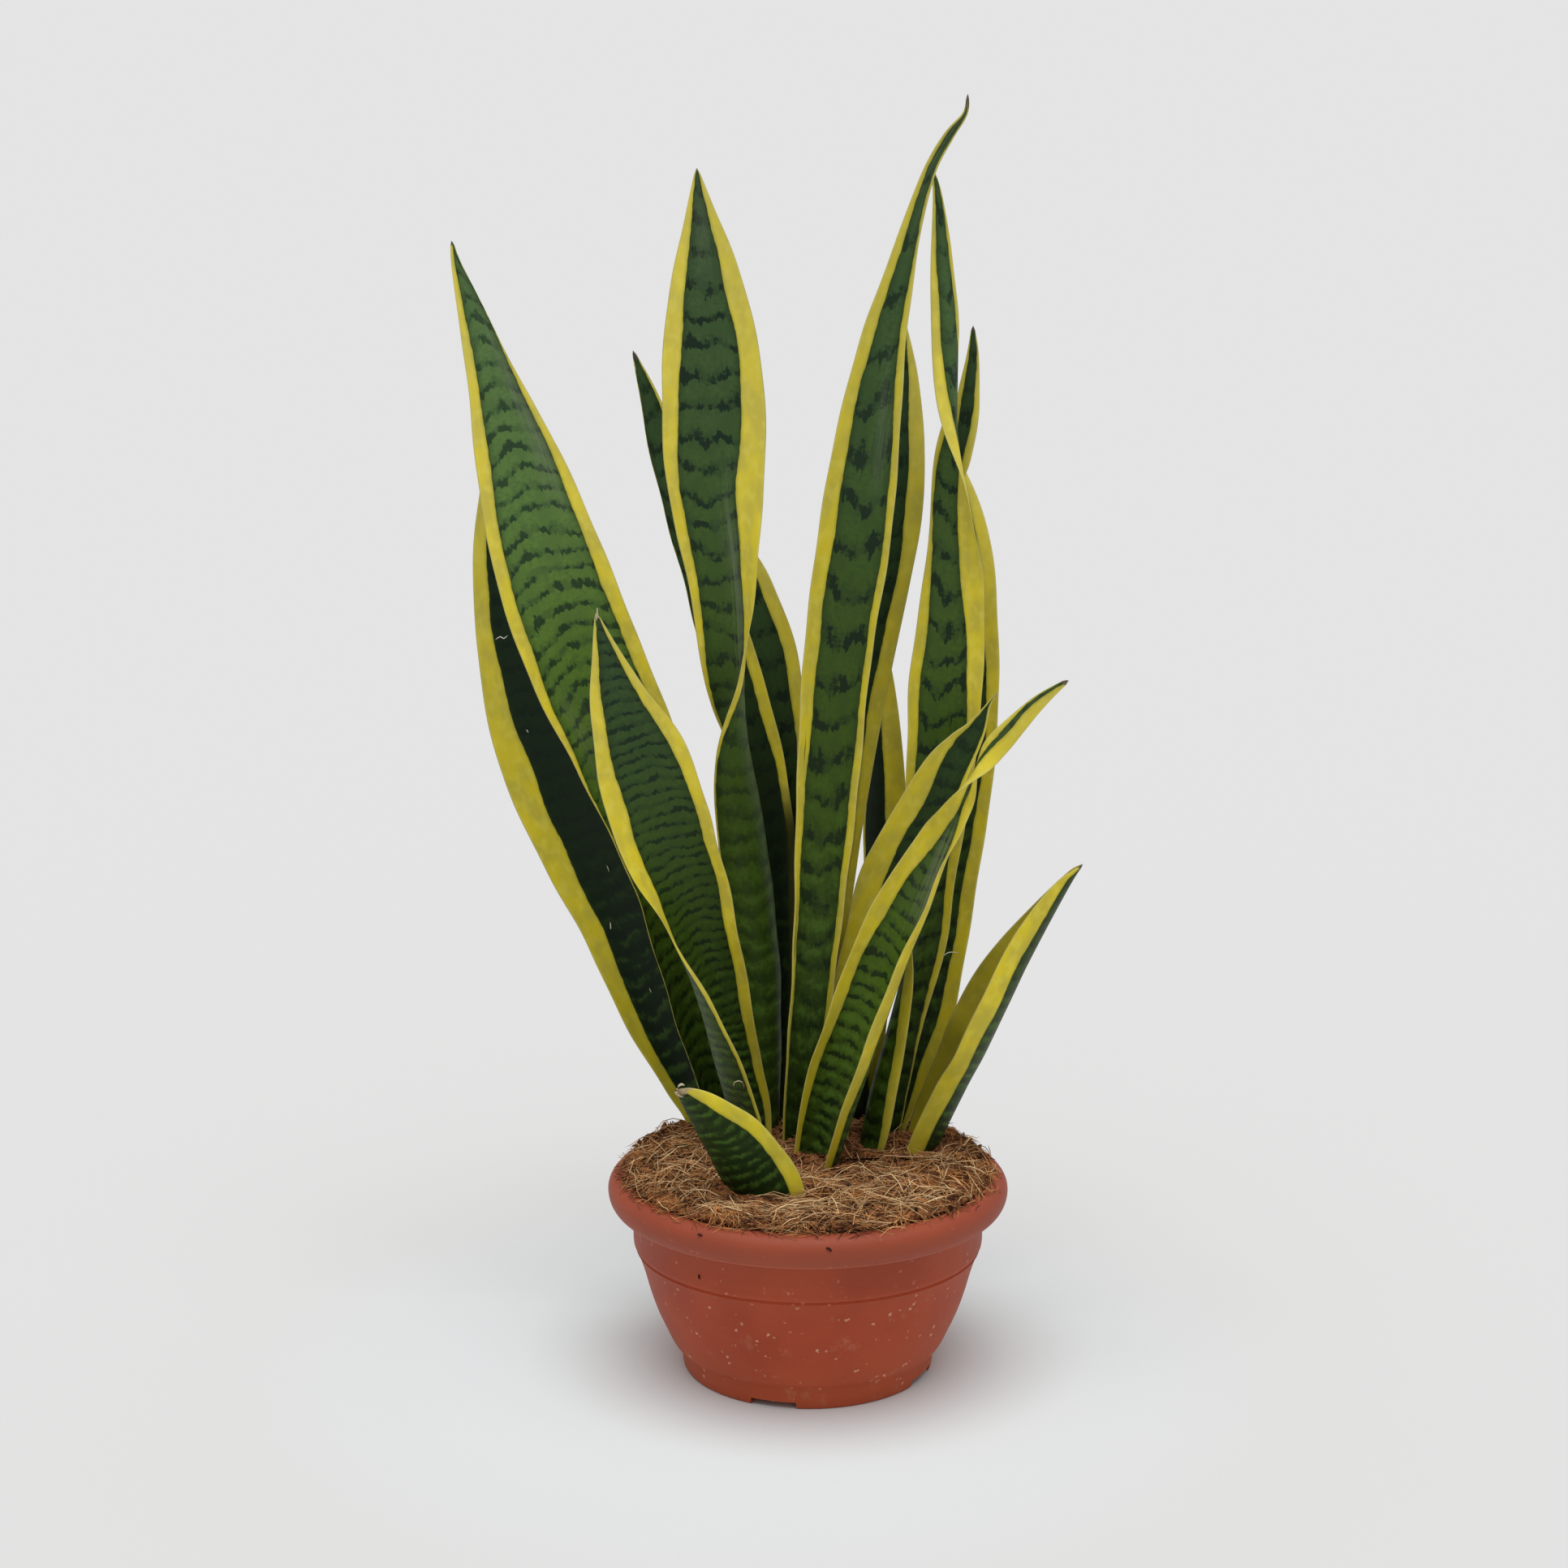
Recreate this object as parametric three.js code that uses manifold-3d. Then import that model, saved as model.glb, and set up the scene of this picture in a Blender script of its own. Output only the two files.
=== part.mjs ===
// A snake plant with fifteen leaves in a round bowl planter, filled with potting soil under a coir mulch.
// Millimetres, +Z up, the front of the plant looks along -Y. Leaves and pot are laid out about the pot's
// axis, and the whole is then shifted so that the origin lies under the middle of the bounding box.
import * as THREE from "three";
import { mergeVertices } from "three/addons/utils/BufferGeometryUtils.js";
import Module from "manifold-3d";

const wasm = await Module();
wasm.setup();

// ---- driving dimensions -------------------------------------------------------------------------
const CLEARANCE = 0.35; // gap kept between pieces that meet
const POT_AXIS = new THREE.Vector2(23.7, 0); // where the pot's axis stands in the finished frame

const POT_SEGMENTS = 40;
const WALL = 3; // wall of the pot
const FOOT_RADIUS = 78; // outer edge of the foot ring on the ground
const FOOT_WIDTH = 7;
const FLOOR_UNDERSIDE = 5; // the floor is raised inside the foot ring
const FLOOR_TOP = 8.5;
const BAND_RADIUS = 110; // plain band between the groove and the rim
const GROOVE_HEIGHT = 79.5;
const GROOVE_DEPTH = 1.2;
const RIM_CENTRE = new THREE.Vector2(116.6, 116.5); // centre of the rolled rim's section
const RIM_ROLL = 9; // radius of the rolled rim's section
const RIM_DROP = 11.8; // how far the rim hangs below that centre, which makes its section a little oval
const BOWL = [ // radius and height of the bowl's outside, from the foot step to the groove
  [83.6, 16.2],
  [86.4, 19.5],
  [91.4, 30],
  [96.2, 41],
  [100.2, 53],
  [103.5, 65],
  [106.8, 75],
  [108.6, GROOVE_HEIGHT - 1],
];
const NOTCH_WIDTH = 29;
const NOTCH_HEIGHT = 4.5;
const NOTCH_TURNS = [-106, -25.5, 74, 154.5]; // degrees from +X to the middle of each notch
const DRAIN_COUNT = 6;
const DRAIN_RADIUS = 5;
const DRAIN_CIRCLE = 46; // radius of the circle that the drain holes stand on

const SOIL_TOP = 106;
const MULCH_CROWN_HEIGHT = 130; // coir surface round the leaves
const MULCH_HEAP = 5; // how much higher the coir lies at the back of the pot
const MULCH_SPOKES = 40;
const MULCH_RINGS = 7;
const STRAND_COUNT = 26; // coarse fibres that stand clear of the mat
const STRAND_RADIUS = 0.9;
const STRAND_LENGTH = [18, 40]; // shortest and longest
const STRAND_BOW = 6; // how far a coarse fibre bends to either side
const STRAND_ARCH = 4.2; // how much lower the ends of a coarse fibre lie than its middle
const STRAND_CLEAR = 1.6; // how high its middle stands above the mat
const MULCH_INNER_RADIUS = RIM_CENTRE.x - RIM_ROLL - CLEARANCE; // inside the pot's mouth
const MULCH_REACH = RIM_CENTRE.x; // where the lip of coir over the rim ends
const MULCH_LIP_HEIGHT = RIM_CENTRE.y + RIM_ROLL + 2;
const MULCH_SHOULDER = 22; // width over which the coir rises to its crown

const LEAF_STRIPS = 4; // strips across each face of a leaf
const RINGS_PER_SPAN = 2; // rings between two stations of a leaf
const LEAF_BASE_THICKNESS = 3.2;
const LEAF_TIP_THICKNESS = 1.2;
const MARGIN_THICKNESS = 0.5; // of the thickness at the mid-rib
const LEAST_HALF_WIDTH = 0.7; // of a blade at its tip
const LEAST_FOLD = 5; // degrees

// ---- leaves -------------------------------------------------------------------------------------
// Each leaf is a list of stations along its mid-rib, from the end buried in the soil up to the tip. A
// station is [x, y, height, half width, facing, fold]: millimetres from the pot's axis, half the blade's
// width measured along its curve, the compass direction in degrees that the hollow inner face looks to
// (270 is the front, and beyond 360 the leaf has twisted on), and the angle in degrees by which the blade
// turns between mid-rib and margin.
const LEAVES = {
  leaf_centre_tall: [
    [-3, 46, 88, 10, 272, 60],
    [-5, 44, 136, 13, 270, 58],
    [5, 38, 257, 16, 268, 46],
    [12, 30, 358, 20.5, 266, 38],
    [18, 22, 446, 22, 265, 32],
    [28, 14, 521, 23.2, 264, 28],
    [35, 8, 578, 20.5, 264, 26],
    [43, 3, 633, 15, 265, 26],
    [51, 0, 669, 10.5, 266, 28],
    [60, -3, 705, 6.5, 267, 32],
    [70, -5, 737, 4.2, 267, 40],
    [81, -6, 757, 3.5, 267, 50],
    [90.5, -7, 770, 1.6, 267, 40],
    [92, -8, 781, 0.7, 267, 20],
  ],
  leaf_centre_back: [
    [-10, 98, 88, 9, 282, 60],
    [-10, 98, 130, 10, 282, 60],
    [-13, 101, 284, 16, 281, 45],
    [-18, 106, 361, 20, 280, 38],
    [-26, 110, 431, 21.5, 280, 32],
    [-38, 113, 477, 18, 280, 30],
    [-49, 115, 506, 12.5, 280, 30],
    [-57, 117, 529, 6.5, 280, 30],
    [-62, 118, 545, 0.8, 280, 20],
  ],
  leaf_slim_back: [
    [-26, 82, 88, 8, 300, 60],
    [-22, 82, 132, 9, 300, 60],
    [-23, 84, 285, 17, 300, 46],
    [-32, 87, 359, 19.9, 300, 40],
    [-43, 90, 407, 19.8, 300, 35],
    [-55, 92, 449, 19.3, 300, 32],
    [-68, 94, 496, 17.4, 299, 30],
    [-81, 96, 537, 14.6, 298, 28],
    [-93, 98, 575, 11, 297, 28],
    [-102, 100, 607, 6.4, 296, 28],
    [-111, 102, 634, 0.8, 296, 20],
  ],
  leaf_broad_twisted: [
    [-26, 64, 88, 9, 95, 60],
    [-26, 64, 134, 10, 98, 60],
    [-27, 60, 223, 17, 112, 62],
    [-32, 55, 304, 24, 132, 62],
    [-35, 50, 353, 28, 150, 70],
    [-38, 47, 387, 29, 172, 78],
    [-41, 45, 415, 27.5, 196, 76],
    [-45, 43, 444, 26, 218, 57],
    [-49, 41, 493, 27, 238, 36],
    [-54, 39, 532, 29.5, 254, 28],
    [-57, 36, 570, 32.2, 266, 24],
    [-58, 33, 608, 32, 270, 22],
    [-60, 30, 645, 28.5, 270, 22],
    [-62, 26, 682, 20.5, 270, 24],
    [-65, 22, 717, 9, 270, 30],
    [-67, 20, 741, 0.8, 270, 20],
  ],
  leaf_mid_behind: [
    [6, 72, 88, 9, 300, 60],
    [3, 72, 129, 10, 300, 60],
    [12, 73, 261, 15, 300, 48],
    [21, 75, 341, 17, 300, 42],
    [34, 77, 422, 18.4, 300, 36],
    [47, 79, 492, 19.5, 298, 32],
    [54, 81, 534, 19.8, 297, 30],
    [57, 82, 577, 17.5, 295, 28],
    [59, 83, 614, 11.5, 294, 28],
    [60, 84, 635, 6, 293, 28],
    [60, 85, 654, 0.8, 292, 20],
  ],
  leaf_short_behind: [
    [34, 84, 88, 9, 300, 60],
    [34, 85, 132, 12, 300, 60],
    [44, 90, 242, 14.5, 298, 50],
    [48, 94, 322, 17, 296, 42],
    [49, 97, 365, 15, 295, 38],
    [48, 99, 414, 10, 294, 34],
    [46, 101, 449, 5, 292, 30],
    [45, 102, 473, 0.8, 292, 20],
  ],
  leaf_right_twisted: [
    [27, 42, 88, 19, 342, 90],
    [36, 42, 134, 29, 342, 98],
    [42.5, 42, 168, 30, 344, 96],
    [56, 45, 216, 26, 340, 84],
    [68, 49, 258, 23.5, 322, 68],
    [73, 51, 295, 21, 293, 50],
    [82, 49, 372, 23.5, 279, 40],
    [86, 45, 428, 24.5, 270, 34],
    [91, 40, 486, 21, 256, 34],
    [92, 34, 527, 18, 236, 44],
    [91, 30, 565, 17.5, 208, 62],
    [89, 27, 605, 16, 158, 60],
    [85, 25, 642, 12, 128, 40],
    [81, 22, 684, 8.4, 115, 34],
    [77, 19, 724, 3.4, 110, 36],
    [73, 18, 741, 0.8, 110, 20],
  ],
  leaf_right_back: [
    [54, 66, 88, 10, 275, 60],
    [52, 66, 126, 12, 275, 60],
    [64.5, 67, 175, 19.5, 276, 52],
    [76.5, 68, 217, 21.5, 276, 46],
    [93, 69, 316, 20, 276, 38],
    [100, 68, 371, 20, 276, 34],
    [102, 66, 428, 20, 277, 32],
    [100, 63, 476, 19.6, 280, 30],
    [98, 60, 507, 18.5, 292, 30],
    [94, 56, 545, 15.5, 330, 36],
    [94, 54, 572, 11.5, 380, 38],
    [98, 52, 602, 8, 428, 32],
    [101, 50, 630, 4.2, 446, 32],
    [101, 49, 649, 0.8, 446, 20],
  ],
  leaf_right_inner: [
    [20, 56, 88, 9, 250, 60],
    [20, 56, 129, 10, 250, 60],
    [29, 50, 212, 15.9, 247, 50],
    [43, 44, 262, 20.5, 243, 44],
    [52, 38, 296, 22.5, 240, 40],
    [61, 33, 318, 22.5, 240, 38],
    [73, 28, 343, 21, 240, 36],
    [86, 22, 374, 17, 240, 36],
    [96, 18, 391, 12.4, 240, 36],
    [104, 14, 404, 7.3, 240, 36],
    [111, 11, 420, 1.5, 240, 30],
    [116, 10, 427, 0.7, 240, 20],
  ],
  leaf_right_arching: [
    [3, 14, 88, 17, 212, 96],
    [14.6, 14, 129, 27, 216, 98],
    [26.6, 12, 172, 33, 217, 98],
    [40, 8, 214, 33, 216, 94],
    [55.8, 3, 262, 31.6, 213, 84],
    [70, -3, 300, 27.5, 211, 72],
    [83, -10, 337, 18, 212, 56],
    [89.5, -16, 358, 10, 250, 46],
    [96, -20, 376, 8.5, 330, 38],
    [107.5, -23, 394, 8.2, 400, 34],
    [119, -27, 407, 7.5, 440, 34],
    [136, -32, 426, 5, 455, 34],
    [151, -36, 439, 1.8, 460, 30],
    [154, -37, 441, 0.7, 460, 20],
  ],
  leaf_right_low: [
    [66, 34, 88, 20, 180, 80],
    [84, 36, 131, 32, 176, 84],
    [103, 31, 175, 34.5, 177, 88],
    [115, 25, 203, 36, 181, 88],
    [129, 19, 236, 34, 178, 88],
    [146, 8, 276, 25, 164, 84],
    [161, -3, 310, 12.5, 154, 70],
    [168, -9, 324, 1.2, 150, 40],
  ],
  leaf_left_front: [
    [-38, 34, 88, 20, 352, 84],
    [-46.5, 34, 139, 34, 354, 90],
    [-53, 32, 169, 35.4, 353, 90],
    [-59.5, 28, 197, 35.5, 348, 90],
    [-67, 23, 238, 33.4, 332, 84],
    [-74, 18, 272, 32.4, 316, 76],
    [-80, 13, 301, 32.8, 303, 62],
    [-87, 8, 328, 32.4, 288, 48],
    [-92.6, 3, 354, 32.4, 275, 36],
    [-102, -5, 391, 29.5, 270, 26],
    [-114.5, -13, 427, 19, 270, 26],
    [-122, -20, 457, 8.6, 270, 30],
    [-127, -25, 480, 0.8, 270, 20],
  ],
  leaf_left_tall: [
    [-48, 61, 88, 14, 302, 75],
    [-54, 61, 134, 18, 302, 75],
    [-74, 61, 214, 23, 297, 66],
    [-84, 59, 267, 26.6, 293, 58],
    [-94, 57, 317, 30, 288, 48],
    [-117, 54, 387, 35.8, 281, 36],
    [-140, 50, 442, 37.7, 278, 28],
    [-160, 44, 501, 35.8, 276, 24],
    [-177.5, 39, 563, 27.7, 276, 22],
    [-193, 34, 617, 15.8, 276, 22],
    [-208, 30, 669, 6.4, 276, 28],
    [-213, 29, 687, 2.9, 276, 30],
    [-215, 28, 699, 0.8, 276, 20],
  ],
  leaf_left_back: [
    [-65, 76, 88, 11, 262, 70],
    [-67, 77, 132, 13.5, 262, 70],
    [-79, 83, 162, 19, 262, 64],
    [-98, 89, 208, 26.5, 261, 54],
    [-119, 95, 265, 31, 260, 44],
    [-142, 99, 313, 33.5, 260, 36],
    [-165, 102, 368, 35, 260, 30],
    [-181, 104, 420, 31, 262, 26],
    [-196, 105, 500, 20.3, 264, 24],
    [-200, 105, 568, 6.5, 265, 24],
    [-200, 105, 594, 0.8, 265, 20],
  ],
  leaf_short_front: [
    [-19, -60, 88, 16, 68, 60],
    [-23.5, -61.5, 110, 25, 68, 60],
    [-30, -64, 130, 29, 68, 58],
    [-39.5, -67, 147, 28.5, 66, 56],
    [-48, -70, 162.5, 26, 64, 54],
    [-56.5, -73, 175, 22, 62, 52],
    [-64, -76, 186, 16.5, 60, 50],
    [-71, -78, 195, 10.5, 58, 46],
    [-77.5, -80, 202.5, 3, 56, 30],
  ],
};

// ---- solids and meshes --------------------------------------------------------------------------
function solidOf(geometry) {
  const bare = geometry.clone();
  bare.deleteAttribute("normal");
  bare.deleteAttribute("uv");
  const merged = mergeVertices(bare, 1e-4);
  return new wasm.Manifold(new wasm.Mesh({
    numProp: 3,
    vertProperties: new Float32Array(merged.attributes.position.array),
    triVerts: new Uint32Array(merged.index.array),
  }));
}

function geometryOf(solid) {
  const mesh = solid.getMesh();
  const geometry = new THREE.BufferGeometry();
  geometry.setAttribute("position", new THREE.BufferAttribute(new Float32Array(mesh.vertProperties), 3));
  geometry.setIndex(new THREE.BufferAttribute(new Uint32Array(mesh.triVerts), 1));
  return geometry;
}

function largestPiece(solid) {
  const pieces = solid.decompose();
  return pieces.reduce((best, piece) => (piece.volume() > best.volume() ? piece : best));
}

// A LatheGeometry turns about Y, so its axis is laid along Z.
function latheSolid(profile, segments) {
  const points = profile.map(([radius, height]) => new THREE.Vector2(radius, height));
  return solidOf(new THREE.LatheGeometry(points, segments).rotateX(Math.PI / 2));
}

function meshFrom(positions, triangles) {
  const geometry = new THREE.BufferGeometry();
  geometry.setAttribute("position", new THREE.BufferAttribute(new Float32Array(positions.flat()), 3));
  geometry.setIndex(triangles.flat());
  return geometry;
}

function arc(centre, radius, fromDegrees, toDegrees, steps) {
  return Array.from({ length: steps + 1 }, (_, i) => {
    const angle = THREE.MathUtils.degToRad(fromDegrees + (toDegrees - fromDegrees) * (i / steps));
    return [centre.x + radius * Math.cos(angle), centre.y + radius * Math.sin(angle)];
  });
}

// ---- pot ----------------------------------------------------------------------------------------
function rimSection(fromDegrees, toDegrees, steps) {
  return arc(RIM_CENTRE, RIM_ROLL, fromDegrees, toDegrees, steps).map(([radius, height]) => {
    const below = Math.min(height - RIM_CENTRE.y, 0);
    return [radius, height + below * (RIM_DROP / RIM_ROLL - 1)];
  });
}

function bowlInside() {
  return BOWL.slice(0, -1).map(([radius, height]) => [radius - WALL, height]);
}

function potProfile() {
  const footInner = FOOT_RADIUS - FOOT_WIDTH;
  const groove = BOWL.at(-1)[0] - GROOVE_DEPTH;
  return [
    [0, FLOOR_UNDERSIDE],
    [footInner - 2, FLOOR_UNDERSIDE],
    [footInner, 0],
    [FOOT_RADIUS - 0.8, 0],
    [FOOT_RADIUS + 1, 1.5],
    [FOOT_RADIUS + 2.8, 13.4],
    [FOOT_RADIUS + 4, 15],
    ...BOWL,
    [groove, GROOVE_HEIGHT],
    [BAND_RADIUS - 0.6, GROOVE_HEIGHT + 1.2],
    [BAND_RADIUS, GROOVE_HEIGHT + 4],
    [BAND_RADIUS + 0.6, RIM_CENTRE.y - RIM_DROP + 0.4],
    ...rimSection(-74, 155, 8),
    [RIM_CENTRE.x - RIM_ROLL, RIM_CENTRE.y - 3],
    [BAND_RADIUS - WALL, GROOVE_HEIGHT + 2],
    ...bowlInside().reverse(),
    [FOOT_RADIUS, FLOOR_TOP],
    [0, FLOOR_TOP],
  ];
}

function notch(turn) {
  const box = new THREE.BoxGeometry(FOOT_WIDTH + 22, NOTCH_WIDTH, 2 * NOTCH_HEIGHT);
  box.translate(FOOT_RADIUS, 0, 0);
  return solidOf(box.rotateZ(THREE.MathUtils.degToRad(turn)));
}

function drainHole(turn) {
  const hole = new THREE.CylinderGeometry(DRAIN_RADIUS, DRAIN_RADIUS, 4 * FLOOR_TOP, 16).rotateX(Math.PI / 2);
  hole.translate(DRAIN_CIRCLE, 0, 0);
  return solidOf(hole.rotateZ(THREE.MathUtils.degToRad(turn)));
}

function potSolid() {
  let pot = latheSolid(potProfile(), POT_SEGMENTS);
  for (const turn of NOTCH_TURNS) {
    pot = pot.subtract(notch(turn));
  }
  for (let i = 0; i < DRAIN_COUNT; i += 1) {
    pot = pot.subtract(drainHole((360 * i) / DRAIN_COUNT));
  }
  return pot;
}

// ---- leaf blade ---------------------------------------------------------------------------------
function smoothCurve(points) {
  return new THREE.CatmullRomCurve3(points.map((p) => new THREE.Vector3(...p)), false, "catmullrom", 0.5);
}

// One ring of a blade at share t of its length: the points of the inner face from the left margin to the
// right one, then those of the outer face. The spare is added all round, for the hole that the blade
// stands in.
function bladeRing(spine, section, t, spare) {
  const centre = spine.getPoint(t);
  const along = spine.getTangent(t);
  const [halfWidth, facing, fold] = section.getPoint(t).toArray();
  const turn = THREE.MathUtils.degToRad(facing);
  const inward = new THREE.Vector3(Math.cos(turn), Math.sin(turn), 0);
  inward.addScaledVector(along, -inward.dot(along)).normalize();
  const across = new THREE.Vector3().crossVectors(along, inward);
  const bend = THREE.MathUtils.degToRad(Math.max(fold, LEAST_FOLD));
  const reach = Math.max(halfWidth, LEAST_HALF_WIDTH) + spare;
  const thickness = THREE.MathUtils.lerp(LEAF_BASE_THICKNESS, LEAF_TIP_THICKNESS, Math.sqrt(t));
  const inner = [];
  const outer = [];
  for (let j = 0; j <= LEAF_STRIPS; j += 1) {
    const u = (2 * j) / LEAF_STRIPS - 1;
    const angle = u * bend;
    const half = (thickness / 2) * (1 - (1 - MARGIN_THICKNESS) * u * u) + spare;
    const middle = centre.clone()
      .addScaledVector(across, (reach * Math.sin(angle)) / bend)
      .addScaledVector(inward, (reach * (1 - Math.cos(angle))) / bend);
    const normal = inward.clone().multiplyScalar(Math.cos(angle)).addScaledVector(across, -Math.sin(angle));
    inner.push(middle.clone().addScaledVector(normal, half).toArray());
    outer.push(middle.clone().addScaledVector(normal, -half).toArray());
  }
  return [...inner, ...outer];
}

function quad(a, b, c, d) {
  return [a, b, c, a, c, d];
}

// Both faces are split along the same diagonals, so that a thin blade never crosses itself.
function bladeTriangles(rings) {
  const count = LEAF_STRIPS + 1;
  const inner = (i, j) => 2 * count * i + j;
  const outer = (i, j) => inner(i, j) + count;
  const last = rings - 1;
  const triangles = [];
  for (let j = 0; j < LEAF_STRIPS; j += 1) {
    triangles.push(quad(inner(0, j), outer(0, j), outer(0, j + 1), inner(0, j + 1)));
    triangles.push(quad(inner(last, j), inner(last, j + 1), outer(last, j + 1), outer(last, j)));
    for (let i = 0; i < last; i += 1) {
      triangles.push(quad(inner(i, j), inner(i, j + 1), inner(i + 1, j + 1), inner(i + 1, j)));
      triangles.push([outer(i, j), outer(i + 1, j + 1), outer(i, j + 1)]);
      triangles.push([outer(i, j), outer(i + 1, j), outer(i + 1, j + 1)]);
    }
  }
  for (let i = 0; i < last; i += 1) {
    triangles.push(quad(inner(i, 0), inner(i + 1, 0), outer(i + 1, 0), outer(i, 0)));
    triangles.push(quad(inner(i, LEAF_STRIPS), outer(i, LEAF_STRIPS), outer(i + 1, LEAF_STRIPS),
      inner(i + 1, LEAF_STRIPS)));
  }
  return triangles;
}

function bladeGeometry(stations, spare = 0) {
  const spine = smoothCurve(stations.map((s) => [s[0], s[1], s[2] - (s === stations[0] ? spare : 0)]));
  const section = smoothCurve(stations.map((s) => s.slice(3)));
  const rings = RINGS_PER_SPAN * (stations.length - 1) + 1;
  const positions = [];
  for (let i = 0; i < rings; i += 1) {
    positions.push(...bladeRing(spine, section, i / (rings - 1), spare));
  }
  return meshFrom(positions, bladeTriangles(rings));
}

function leafHoles() {
  return Object.values(LEAVES).map((stations) => solidOf(bladeGeometry(stations, CLEARANCE)));
}

// ---- soil and coir ------------------------------------------------------------------------------
function soilSolid(holes) {
  const wall = bowlInside().map(([radius, height]) => [radius - CLEARANCE, height + CLEARANCE]);
  const profile = [
    [0, FLOOR_TOP + CLEARANCE],
    [FOOT_RADIUS - CLEARANCE, FLOOR_TOP + CLEARANCE],
    ...wall,
    [BAND_RADIUS - WALL - CLEARANCE, GROOVE_HEIGHT + 3],
    [RIM_CENTRE.x - RIM_ROLL - CLEARANCE, SOIL_TOP],
    [0, SOIL_TOP],
  ];
  return holes.reduce((soil, hole) => soil.subtract(hole), latheSolid(profile, POT_SEGMENTS));
}

// A small repeatable random source, so that the coir is the same on every run.
function randomSource(seed) {
  let state = seed;
  return () => {
    state = (state * 1664525 + 1013904223) % 4294967296;
    return state / 4294967296;
  };
}

// Height of the coir's lumpy top: a crown round the leaves that falls over its shoulder to the lip on
// the rim.
function mulchHeight(x, y) {
  const radius = Math.hypot(x, y);
  const rise = THREE.MathUtils.smoothstep(MULCH_REACH - radius, -4, MULCH_SHOULDER);
  const heap = MULCH_HEAP * THREE.MathUtils.smoothstep(y, -20, 80) * (1 - 0.7 * rise);
  const lumps = 1.3 * Math.sin(0.11 * x + 1.7) * Math.cos(0.13 * y)
    + 0.8 * Math.sin(0.27 * x - 0.19 * y) + 0.6 * Math.cos(0.31 * y + 0.23 * x + 2);
  const plain = THREE.MathUtils.lerp(MULCH_LIP_HEIGHT, MULCH_CROWN_HEIGHT, rise);
  return plain + heap + lumps * (0.25 + 0.75 * rise);
}

// Section of the coir's outer edge at one spoke: up the inside of the pot, then out over the rolled rim to
// a ragged lip. The angle is where the lip ends on the roll, 180 being its inner side and 90 its top.
function mulchEdge(spoke) {
  const ragged = 108 + 9 * Math.sin(2.3 * spoke) * Math.cos(1.1 * spoke + 0.6);
  const lip = arc(RIM_CENTRE, RIM_ROLL + 2 * CLEARANCE, 180, ragged, 3);
  return [[MULCH_INNER_RADIUS, SOIL_TOP + CLEARANCE], ...lip];
}

function mulchBody() {
  const section = Array.from({ length: MULCH_SPOKES }, (_, spoke) => mulchEdge(spoke));
  const edgeCount = section[0].length;
  const positions = [[0, 0, SOIL_TOP + CLEARANCE], [0, 0, mulchHeight(0, 0)]];
  for (let ring = 0; ring < edgeCount + MULCH_RINGS; ring += 1) {
    for (let spoke = 0; spoke < MULCH_SPOKES; spoke += 1) {
      const [lipRadius] = section[spoke].at(-1);
      const share = (edgeCount + MULCH_RINGS - ring) / MULCH_RINGS;
      const radius = ring < edgeCount ? section[spoke][ring][0] : lipRadius * share;
      const angle = (2 * Math.PI * spoke) / MULCH_SPOKES;
      const x = radius * Math.cos(angle);
      const y = radius * Math.sin(angle);
      positions.push([x, y, ring < edgeCount ? section[spoke][ring][1] : mulchHeight(x, y)]);
    }
  }
  const at = (ring, spoke) => 2 + MULCH_SPOKES * ring + (spoke % MULCH_SPOKES);
  const last = edgeCount + MULCH_RINGS - 1;
  const triangles = [];
  for (let spoke = 0; spoke < MULCH_SPOKES; spoke += 1) {
    triangles.push([0, at(0, spoke + 1), at(0, spoke)]);
    triangles.push([1, at(last, spoke), at(last, spoke + 1)]);
    for (let ring = 0; ring < last; ring += 1) {
      const above = ring + 1;
      triangles.push(quad(at(ring, spoke), at(ring, spoke + 1), at(above, spoke + 1), at(above, spoke)));
    }
  }
  return solidOf(meshFrom(positions, triangles));
}

// A coarse fibre: a three-sided bent bar with both ends sunk in the mat and its middle standing clear of it.
function strand(random) {
  const reach = THREE.MathUtils.lerp(...STRAND_LENGTH, random());
  const distance = (MULCH_INNER_RADIUS - 20) * Math.sqrt(random());
  const place = 2 * Math.PI * random();
  const heading = 2 * Math.PI * random();
  const bow = STRAND_BOW * (2 * random() - 1);
  const centre = new THREE.Vector2(distance * Math.cos(place), distance * Math.sin(place));
  const points = [-1, -0.5, 0, 0.5, 1].map((share) => {
    const side = bow * (1 - share * share);
    const x = centre.x + 0.5 * reach * share * Math.cos(heading) - side * Math.sin(heading);
    const y = centre.y + 0.5 * reach * share * Math.sin(heading) + side * Math.cos(heading);
    return new THREE.Vector3(x, y, mulchHeight(x, y) + STRAND_CLEAR - STRAND_ARCH * share * share);
  });
  const outline = new THREE.Shape(arc(new THREE.Vector2(0, 0), STRAND_RADIUS, 0, 240, 2)
    .map(([x, y]) => new THREE.Vector2(x, y)));
  const path = new THREE.CatmullRomCurve3(points);
  return solidOf(new THREE.ExtrudeGeometry(outline, { steps: 4, extrudePath: path }));
}

function mulchSolid(holes) {
  const random = randomSource(11);
  let mulch = mulchBody();
  for (let i = 0; i < STRAND_COUNT; i += 1) {
    mulch = mulch.add(strand(random));
  }
  return largestPiece(holes.reduce((solid, hole) => solid.subtract(hole), mulch));
}

// ---- assembly -----------------------------------------------------------------------------------
function material(color, roughness) {
  return new THREE.MeshStandardMaterial({ color, roughness, metalness: 0 });
}

function named(name, geometry, itsMaterial) {
  const mesh = new THREE.Mesh(geometry, itsMaterial);
  mesh.name = name;
  return mesh;
}

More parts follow.
